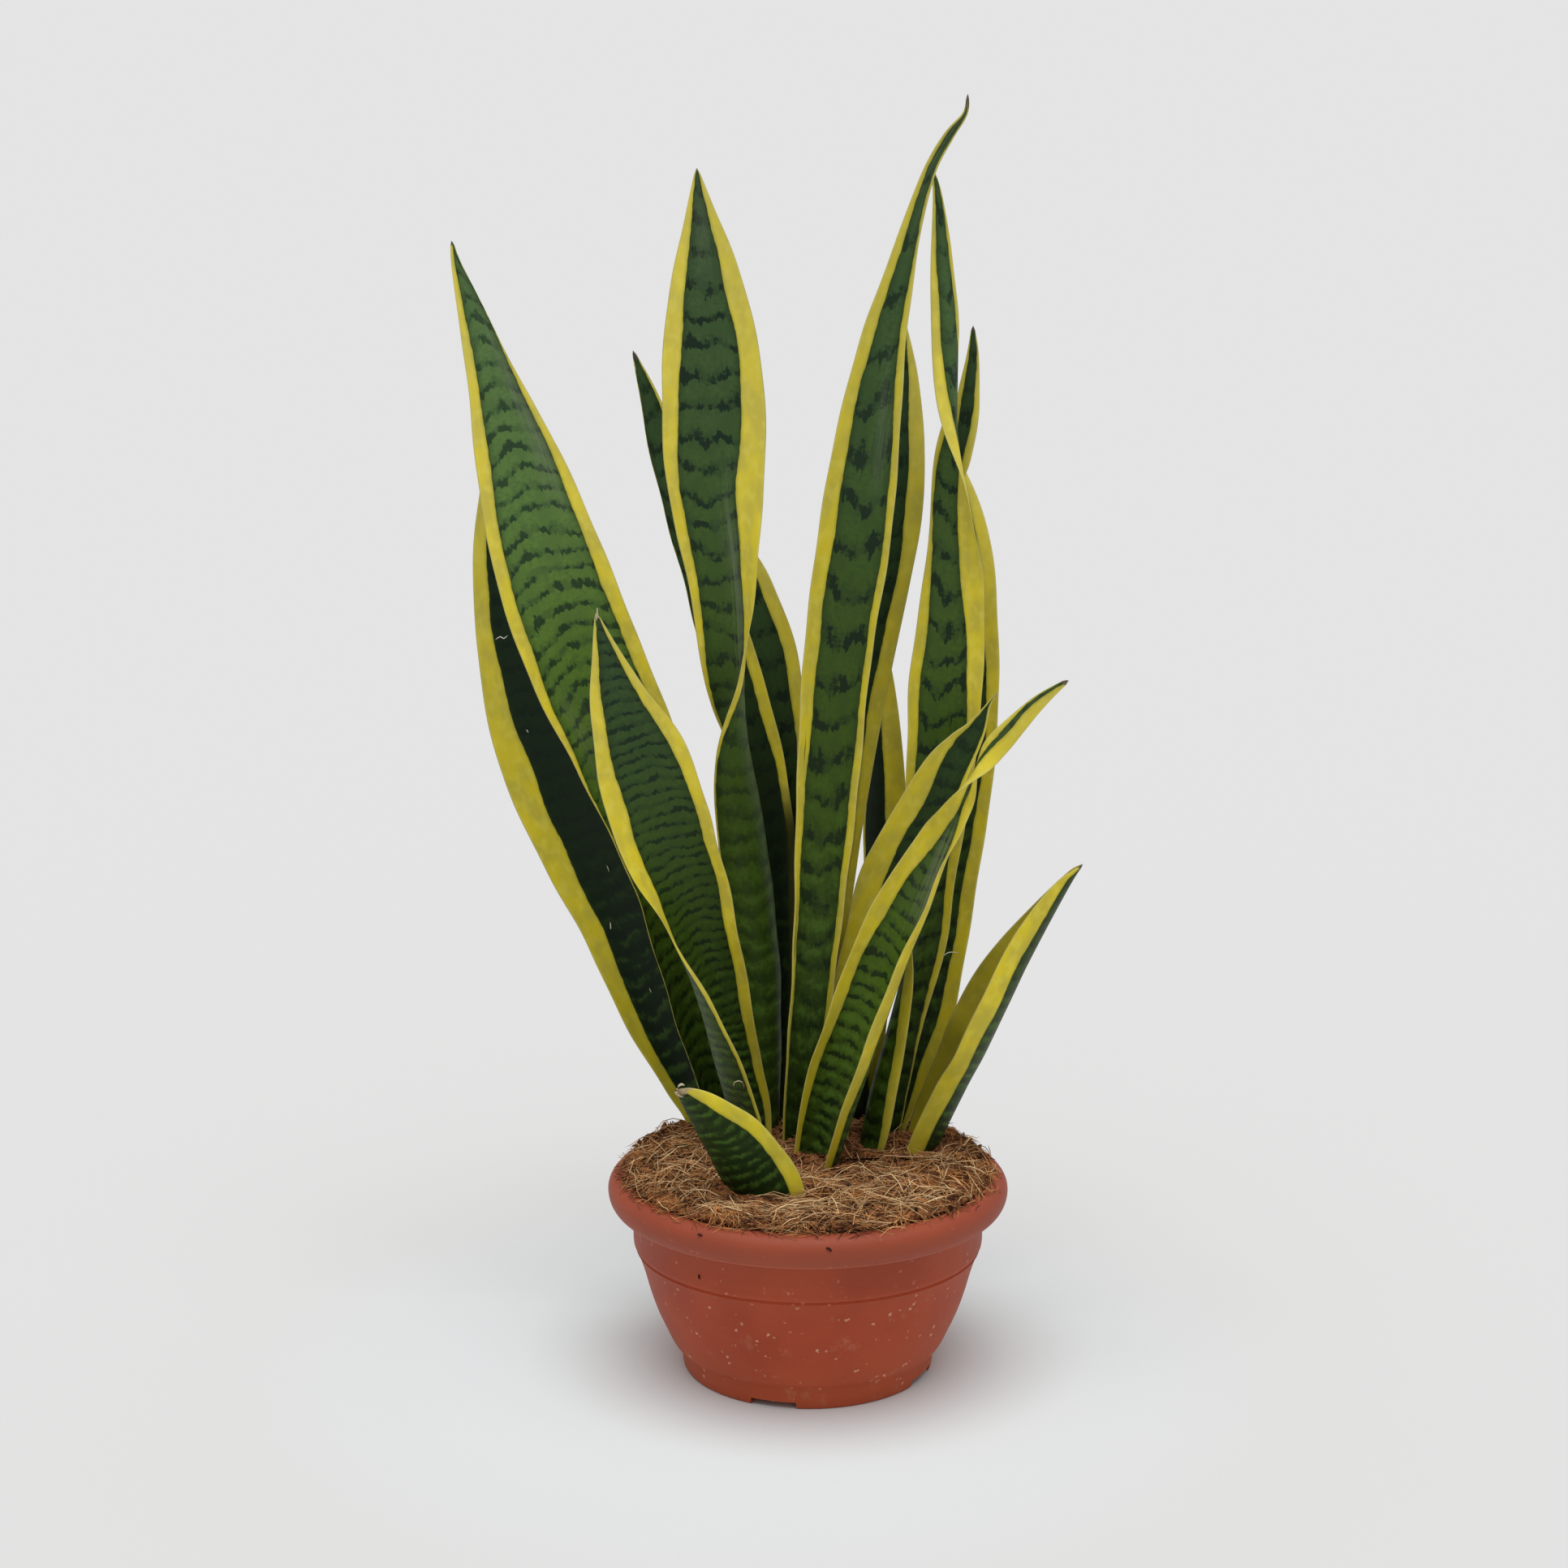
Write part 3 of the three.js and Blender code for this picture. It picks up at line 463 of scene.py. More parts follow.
# Flecks of soil on the rim and on the band below it, in the same way.
SOIL_FLECKS = [
    (0.8, 0.2, [(-66.2, -105.6, 122.0), (-64.4, -106.6, 121.5), (-62.8, -107.4, 121.3)]),
    (0.9, 0.0, [(9.2, -124.8, 120.4), (11.2, -125.0, 119.6), (12.9, -124.9, 118.2)]),
    (0.7, 0.1, [(-66.2, -88.6, 90.4), (-65.9, -88.9, 88.6), (-65.4, -89.2, 87.2)]),
]


# ---- shader sums -----------------------------------------------------
class Wire:
    """A node's output. A sum on it adds the Math node that works it out."""

    def __init__(self, shader, socket):
        self.shader = shader
        self.socket = socket

    def math(self, operation, *others):
        inputs = dict(enumerate((self, *others)))
        return self.shader.node("ShaderNodeMath", dict(operation=operation), inputs)

    def __add__(self, other):
        return self.math("ADD", other)

    def __radd__(self, other):
        return self.math("ADD", other)

    def __sub__(self, other):
        return self.math("SUBTRACT", other)

    def __rsub__(self, other):
        return self.shader.node("ShaderNodeMath", dict(operation="SUBTRACT"), {0: other, 1: self})

    def __mul__(self, other):
        return self.math("MULTIPLY", other)

    def __rmul__(self, other):
        return self.math("MULTIPLY", other)

    def step(self, low, high):
        """0 below low and 1 above high, smooth between them. It falls where low is the greater."""
        inputs = {"Value": self, "From Min": low, "From Max": high}
        return self.shader.node("ShaderNodeMapRange", dict(interpolation_type="SMOOTHSTEP"), inputs)


class Shader:
    """The nodes of one procedural material."""

    def __init__(self, name):
        self.material = bpy.data.materials.new(name)
        self.material.use_nodes = True
        self.tree = self.material.node_tree
        self.tree.nodes.clear()

    def node(self, kind, settings=None, inputs=None, output=0):
        made = self.tree.nodes.new(kind)
        for key, value in (settings or {}).items():
            setattr(made, key, value)
        for key, value in (inputs or {}).items():
            if isinstance(value, Wire):
                self.tree.links.new(value.socket, made.inputs[key])
            else:
                made.inputs[key].default_value = value
        return Wire(self, made.outputs[output]) if made.outputs else None

    def attribute(self, name, output="Fac"):
        return self.node("ShaderNodeAttribute", dict(attribute_name=name), output=output)

    def place(self):
        return self.node("ShaderNodeTexCoord", output="Object")

    def parts(self, vector):
        """The three parts of a vector."""
        return [self.node("ShaderNodeSeparateXYZ", None, {0: vector}, output=k) for k in range(3)]

    def vector(self, x, y, z):
        return self.node("ShaderNodeCombineXYZ", None, {0: x, 1: y, 2: z})

    def scaled(self, vector, factors):
        return self.node("ShaderNodeVectorMath", dict(operation="MULTIPLY"), {0: vector, 1: factors})

    def noise(self, vector, scale=1.0, detail=2.0, roughness=0.5, distortion=0.0):
        inputs = {"Vector": vector, "Scale": scale, "Detail": detail, "Roughness": roughness,
                  "Distortion": distortion}
        return self.node("ShaderNodeTexNoise", None, inputs)

    def cells(self, vector, scale):
        """The distance to the nearest of the points that are strewn over the place."""
        return self.node("ShaderNodeTexVoronoi", None, {"Vector": vector, "Scale": scale}, "Distance")

    def mix(self, share, first, second):
        inputs = {0: share, 6: first, 7: second}
        return self.node("ShaderNodeMix", dict(data_type="RGBA"), inputs, output=2)

    def layered(self, colour, *layers):
        """The colour with tints laid over it in turn, each by a share of its own."""
        for share, over in layers:
            colour = self.mix(share, colour, tint(*over))
        return colour

    def mix_of_four(self, share, tone, first, second):
        """A mix of two colours, each of them a mix by tone of a dark tint and a light one."""
        first, second = (self.mix(tone, tint(*dark), tint(*light)) for dark, light in (first, second))
        return self.mix(share, first, second)

    def finish(self, colour, roughness, relief=None, relief_depth=0.0005, **constants):
        """The shader itself: what changes over the surface is linked, what doesn't is set on its socket."""
        inputs = {"Base Color": colour, "Roughness": roughness}
        if relief is not None:
            bump = {"Height": relief, "Distance": relief_depth}
            inputs["Normal"] = self.node("ShaderNodeBump", None, bump)
        inputs.update({key.replace("_", " "): value for key, value in constants.items()})
        surface = self.node("ShaderNodeBsdfPrincipled", None, inputs)
        self.node("ShaderNodeOutputMaterial", None, {"Surface": surface})
        return self.material


def tint(red, green, blue):
    """A colour given as it looks on a screen, 0 to 255, as the linear values that a node takes."""
    def linear(value):
        value /= 255
        return value / 12.92 if value <= 0.04045 else ((value + 0.055) / 1.055) ** 2.4
    return (linear(red), linear(green), linear(blue), 1.0)


# ---- materials -------------------------------------------------------
def blade_noise(s, blade, across_scale, along_scale, shift=0.0, detail=2.0, roughness=0.5):
    """Noise that follows the blade's own millimetres, with a scale across it and one along it."""
    across, along, side = blade
    place = s.vector(across * across_scale, along * along_scale, side + shift)
    return s.noise(place, detail=detail, roughness=roughness)


def leaf_bands(s, blade, cloud, teeth):
    """The strengths of the broken dark bands, of fainter marks and of the pale arcs low on the leaf."""
    across, _, side = blade
    blot = blade_noise(s, blade, 0.30, 0.42, detail=3.0, roughness=0.62)
    drift = blade_noise(s, blade, 0.055, 0.035)
    clump = blade_noise(s, blade, 0.13, 0.12, 7.0)
    lane = s.attribute("phase") + (drift - 0.5) * 1.3 + (teeth - 0.5) * 0.55
    row = lane.math("FRACT")
    dash = s.noise(s.vector(across * 0.13, lane.math("FLOOR") * 3.7, side), detail=2.0)
    band = row.step(0.0, 0.12) * row.step(0.66, 0.20)
    dark = dash * 1.05 + blot * 0.40 + band * 0.36 + (clump - 0.5) * 0.45
    dark = dark.step(0.97, 1.11) * s.attribute("bands")
    faint = (blot * 0.6 + cloud * 0.5 + band * 0.22).step(0.52, 0.76)
    glow = row.step(0.40, 0.75) * row.step(1.0, 0.85) * clump.step(0.40, 0.58)
    return dark, faint, glow * s.attribute("rise").step(0.45, 0.1)


def leaf_green(s, blade, cloud, teeth):
    """The banded green, with painted shade low down and painted shadow where the other leaves shade it, and
    painted sheen.
    """
    tone = s.attribute("tone")
    rise = s.attribute("rise")
    shadow = s.attribute("shadow")
    dark, faint, glow = leaf_bands(s, blade, cloud, teeth)
    streak = blade_noise(s, blade, 0.45, 0.012)
    green = s.mix_of_four(rise.step(0.3, 1.0), tone,
                          [(26, 50, 8), (102, 134, 28)], [(30, 56, 34), (106, 140, 80)])
    shade = s.mix_of_four(rise.step(0.1, 0.8), tone,
                          [(12, 30, 4), (48, 74, 16)], [(16, 36, 24), (56, 86, 54)])
    deep = s.mix_of_four(rise.step(0.2, 0.8), tone,
                         [(10, 24, 6), (24, 46, 14)], [(12, 28, 20), (28, 52, 38)])
    green = s.mix(faint * 0.45 + (1.0 - cloud.step(0.36, 0.6)) * 0.28, green, shade)
    green = s.mix(dark * 0.88, green, deep)
    # painted shade: darkens the green where other leaves shade it and near the coir
    painted_shade = (shadow * 0.9).math("MAXIMUM", rise.step(0.2, 0.0) * 0.5)
    return s.layered(
        green,
        # painted sheen: pale streaks that stand in for glossy reflections
        (s.attribute("sheen") * streak.step(0.34, 0.62), (120, 128, 108)),
        # painted sheen: greys the outer face as a glossy reflection would
        (s.attribute("outer") * 0.62, (86, 98, 66)),
        (painted_shade, (8, 25, 12)),
        (glow * (0.5 - shadow * 0.3), (92, 130, 48)),
        (s.attribute("margin").step(-5.0, -0.3) * 0.30, (26, 44, 8)),
    )


def leaf_yellow(s, blade, pebble):
    """The margins' yellow, paler up the leaf, greener at its base and olive in places as painted shade,
    with a pale painted highlight along its edge.
    """
    rise = s.attribute("rise")
    mottle = blade_noise(s, blade, 0.09, 0.045, 5.0, detail=1.5)
    return s.layered(
        s.mix(mottle.step(0.36, 0.64), tint(214, 198, 70), tint(234, 214, 50)),
        (pebble.step(0.44, 0.70) * 0.45, (246, 230, 90)),
        (rise.step(0.45, 1.0) * 0.28, (234, 224, 132)),
        # painted shade: greener and darker low on the leaf
        (rise.step(0.34, 0.04) * 0.35, (150, 148, 26)),
        # painted shade: olive where the margin lies among other leaves
        (s.attribute("olive"), (116, 112, 14)),
        # painted highlight: a pale line along the leaf's edge
        (s.attribute("brim").step(1.3, 0.2) * 0.5, (206, 196, 132)),
        (s.attribute("margin").step(2.2, 0.2) * 0.35, (138, 142, 44)),
        (s.attribute("line").step(0.7, 0.2) * 0.8, (88, 96, 20)),
        (s.attribute("shadow").step(0.84, 1.0) * 0.94, (10, 26, 4)),
    )


def leaf_skin():
    """Ragged dark cross-bands on green, between yellow margins, with ribs and a dry tip."""
    s = Shader("snake_plant_leaf")
    blade = s.parts(s.attribute("blade", "Vector"))
    cloud = blade_noise(s, blade, 0.07, 0.045, 3.0, detail=2.5)
    teeth = blade_noise(s, blade, 0.42, 0.08, roughness=0.6)
    pebble = blade_noise(s, blade, 0.16, 0.12, 9.0, detail=1.5)
    husk = blade_noise(s, blade, 0.6, 0.15)
    grain = blade_noise(s, blade, 1.3, 0.8)
    ribs = blade_noise(s, blade, 1.1, 0.012)
    dry = s.attribute("dry")

    edge = s.attribute("margin") + (teeth - 0.5) * 1.5 + (pebble - 0.5) * 0.7
    inside = edge.step(-0.25, 0.25)
    colour = s.mix(inside, leaf_green(s, blade, cloud, teeth), leaf_yellow(s, blade, pebble))
    colour = s.mix(edge.step(-1.3, -0.3) * edge.step(0.45, -0.1) * 0.45, colour, tint(46, 58, 10))
    dried = s.mix_of_four(husk, s.attribute("husk"),
                          [(58, 50, 46), (150, 124, 84)], [(98, 88, 78), (216, 200, 160)])
    colour = s.mix((dry + (husk - 0.5) * 0.5).step(0.35, 0.65), colour, dried)
    relief = (ribs * 0.55 + grain * 0.2) * (1.0 - inside * 0.6)
    roughness = 0.42 + cloud * 0.14 + dry * 0.25 + grain * 0.05
    return s.finish(colour, roughness, relief, 0.0003, Specular_IOR_Level=0.16)


def ring_round(height, start, full, fading, end):
    """A band round the pot, by the heights where it starts, is full, starts to fade and ends."""
    return height.step(start * MM, full * MM) * height.step(end * MM, fading * MM)


def specks(s, place, height, low, grain):
    """Layers of pale dust and flakes, most of them low on the bowl, and of soil high up."""
    cell = s.cells(place, 210.0) + (s.noise(place, scale=520.0, detail=1.0) - 0.5) * 0.5
    pick = s.noise(place, scale=95.0, detail=1.0)
    dust = cell.step(0.30, 0.12) * pick.step(0.57, 0.66) * (low * 0.8 + 0.08)
    flake = s.cells(s.scaled(place, (1.0, 1.0, 1.5)), 95.0) + (grain - 0.5) * 0.12
    patch = s.noise(place, scale=44.0, detail=1.0).step(0.54, 0.6)
    dust = dust.math("MAXIMUM", flake.step(0.15, 0.08) * patch * low)
    soiled = s.noise(place, scale=60.0, detail=1.0).step(0.32, 0.27)
    soil = cell.step(0.22, 0.1) * soiled * height.step(0.07, 0.12)
    return (dust, (226, 178, 150)), (soil * 0.8, (70, 34, 24))


def pot_plastic():
    """Matt terracotta-coloured plastic, greyer on the rim partly as painted shade, with painted highlights
    and pale dust.
    """
    s = Shader("terracotta_pot_plastic")
    place = s.place()
    height = s.parts(place)[2]
    low = height.step(0.125, 0.02)
    cloud = s.noise(place, scale=16.0, detail=3.0)
    grain = s.noise(place, scale=900.0, detail=2.0)
    haze = s.noise(place, scale=70.0, detail=5.0, roughness=0.7)
    # painted highlight: a light line along the rim's lower edge
    painted_rim_highlight = ring_round(height, RIM_EDGE + 0.3, RIM_EDGE + 0.7, RIM_EDGE + 1.3, RIM_EDGE + 2.3)
    # painted light over the groove, which lightens the groove's shadow line
    painted_groove_light = ring_round(
        height, GROOVE_HEIGHT - 1.1, GROOVE_HEIGHT - 0.4, GROOVE_HEIGHT + 1.0, GROOVE_HEIGHT + 1.9)
    colour = s.layered(
        s.mix(cloud.step(0.35, 0.7), tint(158, 60, 30), tint(174, 72, 38)),
        (height.step(0.06, 0.12) * 0.3, (164, 84, 58)),
        # the rim darker and greyer, partly painted shade
        (height.step(0.100, 0.108) * 0.4, (140, 72, 54)),
        (painted_rim_highlight * 0.5, (196, 120, 94)),
        (painted_groove_light * 0.6, (206, 104, 70)),
        (height.step(0.05, 0.0) * 0.5, (196, 94, 54)),
        (haze.step(0.56, 0.8) * (low * 0.4 + 0.05), (200, 140, 110)),
        *specks(s, place, height, low, grain),
    )
    roughness = 0.5 + cloud * 0.12 + haze.step(0.5, 0.8) * 0.1
    return s.finish(colour, roughness, grain + haze * 0.6, 0.00012, Specular_IOR_Level=0.28)


def coir_mat_fibre():
    """Matted fibres: dark and light crumbs, with paler lumps and strands."""
    s = Shader("coir_mat")
    place = s.place()
    lump = s.noise(place, scale=60.0, detail=4.0, roughness=0.65)
    crumb = s.noise(place, scale=420.0, detail=4.0, roughness=0.7)
    strand = s.noise(s.scaled(place, (900.0, 160.0, 300.0)), detail=3.0, distortion=0.8)
    colour = s.layered(
        s.mix(crumb.step(0.38, 0.66), tint(38, 20, 12), tint(172, 110, 66)),
        (lump.step(0.45, 0.65) * 0.5, (196, 130, 78)),
        (strand.step(0.56, 0.7) * 0.5, (198, 148, 96)),
    )
    return s.finish(colour, 0.9 + 0.08 * crumb, crumb + strand * 0.5, 0.0012, Specular_IOR_Level=0.2)


def strand_skin(name, dark, light, gloss=0.25, patchiness=1.3):
    """For fibres, crumbs and threads: each has its own tone, and patches of them are darker or lighter."""
    s = Shader(name)
    tone = s.attribute("tone")
    place = s.place()
    shift = s.noise(place, scale=260.0, detail=2.0)
    patch = s.noise(place, scale=38.0, detail=2.0)
    colour = s.mix(tone + (shift - 0.5) * 0.5 + (patch - 0.5) * patchiness, dark, light)
    return s.finish(colour, 0.78 + shift * 0.15, shift, 0.0001, Specular_IOR_Level=gloss)


def brown_coir():
    return strand_skin("coir_fibre_brown", tint(52, 26, 15), tint(236, 164, 98))


def straw_coir():
    return strand_skin("coir_fibre_straw", tint(168, 116, 68), tint(250, 218, 166), gloss=0.35)


def coir_pith():
    return strand_skin("coir_pith", tint(40, 22, 14), tint(150, 92, 56), gloss=0.15)


def dried_thread():
    return strand_skin("dried_thread", tint(186, 168, 128), tint(236, 232, 216), patchiness=0.0)


def soil_fleck():
    return strand_skin("soil_fleck", tint(48, 20, 14), tint(120, 60, 40), patchiness=0.0)


def potting_earth():
    s = Shader("potting_earth")
    crumb = s.noise(s.place(), scale=300.0, detail=5.0, roughness=0.7)
    colour = s.mix(crumb.step(0.35, 0.65), tint(26, 17, 12), tint(70, 50, 36))
    return s.finish(colour, 0.9 + crumb * 0.08, crumb, 0.001, Specular_IOR_Level=0.2)


# ---- shared mesh work ------------------------------------------------
def step(value, low, high):
    """0 below low and 1 above high, smooth between them."""
    share = np.clip((value - low) / (high - low), 0, 1)
    return share * share * (3 - 2 * share)


def smooth_points(points, shares):
    """Points at shares from 0 to 1 along a uniform Catmull-Rom curve through the given ones."""
    known = np.array(points, float)
    padded = np.vstack([2 * known[0] - known[1], known, 2 * known[-1] - known[-2]])
    spans = len(known) - 1
    along = np.clip(shares, 0, 1) * spans
    first = np.minimum(along.astype(int), spans - 1)
    w = (along - first)[:, None]
    p0, p1, p2, p3 = (padded[first + k] for k in range(4))
    return p1 + 0.5 * w * (p2 - p0 + w * (2 * p0 - 5 * p1 + 4 * p2 - p3 + w * (3 * (p1 - p2) + p3 - p0)))


def in_frame(points):
    """Millimetres about the pot's axis, as metres in the frame."""
    return (np.asarray(points) + POT_AXIS) * MM


def made_piece(name, bm, material, smooth=True):
    mesh = bpy.data.meshes.new(name)
    bm.to_mesh(mesh)
    bm.free()
    mesh.polygons.foreach_set("use_smooth", [smooth] * len(mesh.polygons))
    mesh.materials.append(material)
    piece = bpy.data.objects.new(name, mesh)
    bpy.context.scene.collection.objects.link(piece)
    return piece


def wrapped_grid(columns, rows):
    """A grid with each vertex's column and row, to be laid round a form and joined along its seam."""
    bm = bmesh.new()
    bmesh.ops.create_grid(bm, x_segments=columns, y_segments=rows, size=0.5)
    bm.verts.ensure_lookup_table()
    column = np.array([round((v.co.x + 0.5) * columns) for v in bm.verts])
    row = np.array([round((v.co.y + 0.5) * rows) for v in bm.verts])
    return bm, column, row


def lay_vertices(bm, points):
    for vertex, point in zip(bm.verts, points):
        vertex.co = point


def close_shell(bm):
    bmesh.ops.remove_doubles(bm, verts=bm.verts, dist=1e-7)
    bmesh.ops.holes_fill(bm, edges=[e for e in bm.edges if e.is_boundary], sides=0)
    bmesh.ops.recalc_face_normals(bm, faces=bm.faces)


def keep_value(bm, name, values):
    layer = bm.verts.layers.float.new(name)
    for vertex, value in zip(bm.verts, values):
        vertex[layer] = value


# ---- leaves ----------------------------------------------------------
def unit(vectors):
    return vectors / np.linalg.norm(vectors, axis=-1, keepdims=True)


def blade_lines(stations, shares):
    """Centre, inward and across directions, half width, fold and thickness along one leaf."""
    table = np.array(stations, float)
    centre = smooth_points(table[:, :3], shares)
    ahead = smooth_points(table[:, :3], np.minimum(shares + 1e-4, 1))
    behind = smooth_points(table[:, :3], np.maximum(shares - 1e-4, 0))
    along = unit(ahead - behind)
    half_width, facing, fold = smooth_points(table[:, 3:], shares).T
    turn = np.radians(facing)
    inward = np.stack([np.cos(turn), np.sin(turn), np.zeros_like(turn)], 1)
    inward = unit(inward - along * np.sum(along * inward, 1, keepdims=True))
    across = np.cross(along, inward)
    thickness = BASE_THICKNESS + (TIP_THICKNESS - BASE_THICKNESS) * np.sqrt(shares)
    return centre, inward, across, np.maximum(half_width, LEAST_HALF_WIDTH), fold, thickness


def blade_surface(stations, shares, u, side, wave_seed=0.0):
    """Points at place u across the blade, -1 being its left margin, on its inner (1) or outer (-1) side."""
    centre, inward, across, half_width, fold, thickness = blade_lines(stations, shares)
    length = np.concatenate([[0], np.cumsum(np.linalg.norm(np.diff(centre, axis=0), axis=1))])
    left = length[-1] - length
    taper = np.sqrt(np.clip(left / TIP_LENGTH, 0.02, 1))
    reach = (half_width * taper)[:, None]
    bend = np.radians(np.maximum(fold, LEAST_FOLD))[:, None]
    angle = u * bend
    profile = (1 - (1 - MARGIN_THICKNESS) * u ** 2) * np.sqrt(np.clip(1 - np.abs(u) ** 12, 0, 1))
    half = (thickness * taper)[:, None] / 2 * profile * side
    off = half + margin_wave(u, length[:, None], reach, wave_seed)
    out = reach * (1 - np.cos(angle)) / bend
    sideways = reach * np.sin(angle) / bend
    inward_share = (out + off * np.cos(angle))[..., None]
    across_share = (sideways - off * np.sin(angle))[..., None]
    points = centre[:, None] + across[:, None] * across_share + inward[:, None] * inward_share
    return points, length, half_width


def margin_wave(u, run, reach, wave_seed):
    """How far the blade waves at place u: only near its margins, and not at its base or its tip."""
    left = run[-1] - run
    wave = WAVE_HEIGHT * np.abs(u) ** 3 * np.sin(run / 9.0 + 2.1 * np.sign(u) + wave_seed)
    return wave * np.clip(left / 60, 0, 1) * np.clip((run - 60) / 60, 0, 1) * np.minimum(reach / 15, 1)


def even_list(values, shares):
    """A list of values as a smooth line, evenly spread over shares from 0 to 1."""
    return smooth_points(np.array(values, float)[:, None], shares)[:, 0]


def leaf_values(name, number, u, side, length, half_width, buried):
    """What the leaf's material reads at each point, in rows along the blade and columns round it."""
    looks = LEAF_LOOKS[name]
    run = length[:, None]
    hw = half_width[:, None]
    flat = 0 * hw * u
    rise = np.clip((length - buried) / (length[-1] - buried), 0, 1)
    wobble = 1 + 0.05 * np.sin(run / 23 + number) + 0.04 * np.sin(run / 9.5 + 2 * number)
    margin_left = even_list(looks["left"], rise)[:, None] * wobble
    margin_right = even_list(looks["right"], rise)[:, None] * (2 - wobble)
    to_left = (1 + u) * hw
    to_right = (1 - u) * hw
    low_pitch, high_pitch = looks["pitch"]
    pitch = low_pitch + (high_pitch - low_pitch) * rise ** 0.8
    count = np.concatenate([[0], np.cumsum(np.diff(length) / pitch[1:])])[:, None]
    margin_shade_left, margin_shade_right = looks.get("olive", (0.0, 0.0))
    streaks = [sheen(rise, u, *streak) for streak in looks.get("sheens", ())]
    return {
        "margin": np.maximum(margin_left - to_left, margin_right - to_right),
        # distance to the edge, where a painted highlight runs
        "brim": np.minimum(to_left, to_right),
        "phase": count - looks["smile"] * np.abs(u) ** 1.4 + PHASE_SHIFT * number,
        "rise": flat + (rise * min((length[-1] - buried) / FULL_GROWN, 1))[:, None],
        "dry": flat + np.clip(1 - (length[-1] - run) / looks["dry"], 0, 1),
        "husk": flat + looks["husk"],
        "tone": flat + looks["tone"],
        "bands": flat + even_list(looks["bands"], rise)[:, None],
        # painted shade that turns the margins olive
        "olive": flat + margin_shade_left + (margin_shade_right - margin_shade_left) * step(u, -0.2, 0.2),
        "shadow": even_list(looks.get("shadow", (0, 0)), rise)[:, None] * np.where(side > 0, 1.0, 0.5),
        # painted sheen greying the outer face
        "outer": flat + looks.get("outer", 0.0) * (side < 0),
        # painted sheen streaks, standing in for glossy reflections
        "sheen": sum(streaks, flat) * (side > 0),
        "line": line_gap(name, to_left, rise[:, None], margin_left),
    }


def leaf(name, skin, number):
    """One closed blade. Its columns run across the inner side from left to right and back outside."""
    stations = LEAVES[name]
    rows = RINGS_PER_SPAN * (len(stations) - 1)
    columns = 2 * STRIPS
    k = np.arange(columns + 1)
    u = -np.cos(np.pi * k / STRIPS)
    side = np.where(k <= STRIPS, 1.0, -1.0)
    points, length, half_width = blade_surface(stations, np.linspace(0, 1, rows + 1), u, side, number)
    buried = length[points[:, STRIPS // 2, 2] < CROWN_HEIGHT][-1]

    bm, column, row = wrapped_grid(columns, rows)
    lay_vertices(bm, in_frame(points[row, column]))
    blade = bm.verts.layers.float_vector.new("blade")
    for vertex, i, j in zip(bm.verts, row, column):
        vertex[blade] = (u[j] * half_width[i], length[i] + PATTERN_SHIFT * number, side[j])
    for key, table in leaf_values(name, number, u, side, length, half_width, buried).items():
        keep_value(bm, key, table[row, column])
    close_shell(bm)
    return made_piece(name + "_fine", bm, skin)


def sheen(rise, u, place, spread, start, end, strength):
    """How much painted sheen, a glossy reflection painted in as a pale streak, each point of a blade gets,
    from 0 to its strength.
    """
    over = step(rise, start, start + 0.1) * (1 - step(rise, end - 0.1, end))
    return strength * over[:, None] * np.exp(-((u - place) / spread) ** 2)


def line_gap(name, to_left, rise, margin_left):
    """Millimetres to the thin olive line that runs inside the left margin of the tallest leaf."""
    if name != "leaf_centre_tall":
        return 9.0 + 0 * to_left
    shown = step(rise, 0.12, 0.2) * (1 - step(rise, 0.66, 0.76))
    return np.abs(to_left - 0.62 * margin_left) + 3 * (1 - shown)


# ---- pot -------------------------------------------------------------
def arc(centre, radius, start, end, steps):
    angles = np.radians(np.linspace(start, end, steps + 1))
    return [(centre[0] + radius * math.cos(a), centre[1] + radius * math.sin(a)) for a in angles]


def pot_profile():
    """Radius and height round the pot's section, from the middle of its underside to that of its floor."""
    foot_inner = FOOT_RADIUS - FOOT_WIDTH
    bowl = smooth_points(BOWL, np.linspace(0, 1, BOWL_STEPS + 1)).tolist()
    inside = [(radius - WALL, height) for radius, height in bowl[:-1]]
    rim = [(radius, height + min(height - RIM_HEIGHT, 0) * (RIM_DROP / RIM_ROLL - 1))
           for radius, height in arc((RIM_RADIUS, RIM_HEIGHT), RIM_ROLL, *RIM_ARC)]
    groove = BOWL[-1][0] - GROOVE_DEPTH
    return [
        (0, FLOOR_UNDERSIDE), (foot_inner - 2, FLOOR_UNDERSIDE), (foot_inner, 0.6), (foot_inner + 0.5, 0),
        (FOOT_RADIUS - 0.8, 0), (FOOT_RADIUS, 0.3), (FOOT_RADIUS + 1, 1.5), (FOOT_RADIUS + 2.6, 12.6),
        (FOOT_RADIUS + 3.1, 14.2), (FOOT_RADIUS + 4.2, 15.2), *bowl,
        (groove + 0.7, GROOVE_HEIGHT - 0.7), (groove, GROOVE_HEIGHT), (groove + 0.5, GROOVE_HEIGHT + 0.8),
        (BAND_RADIUS - 0.8, GROOVE_HEIGHT + 1.3), (BAND_RADIUS - 0.2, GROOVE_HEIGHT + 2.4),
        (BAND_RADIUS, GROOVE_HEIGHT + 4), (BAND_RADIUS + 0.5, RIM_EDGE - 1),
        (BAND_RADIUS + 0.9, RIM_EDGE + 0.2), *rim,
        (RIM_RADIUS - RIM_ROLL, RIM_HEIGHT - 3), (BAND_RADIUS - WALL, GROOVE_HEIGHT + 2),
        *reversed(inside), (FOOT_RADIUS, FLOOR_TOP), (0, FLOOR_TOP),
    ]


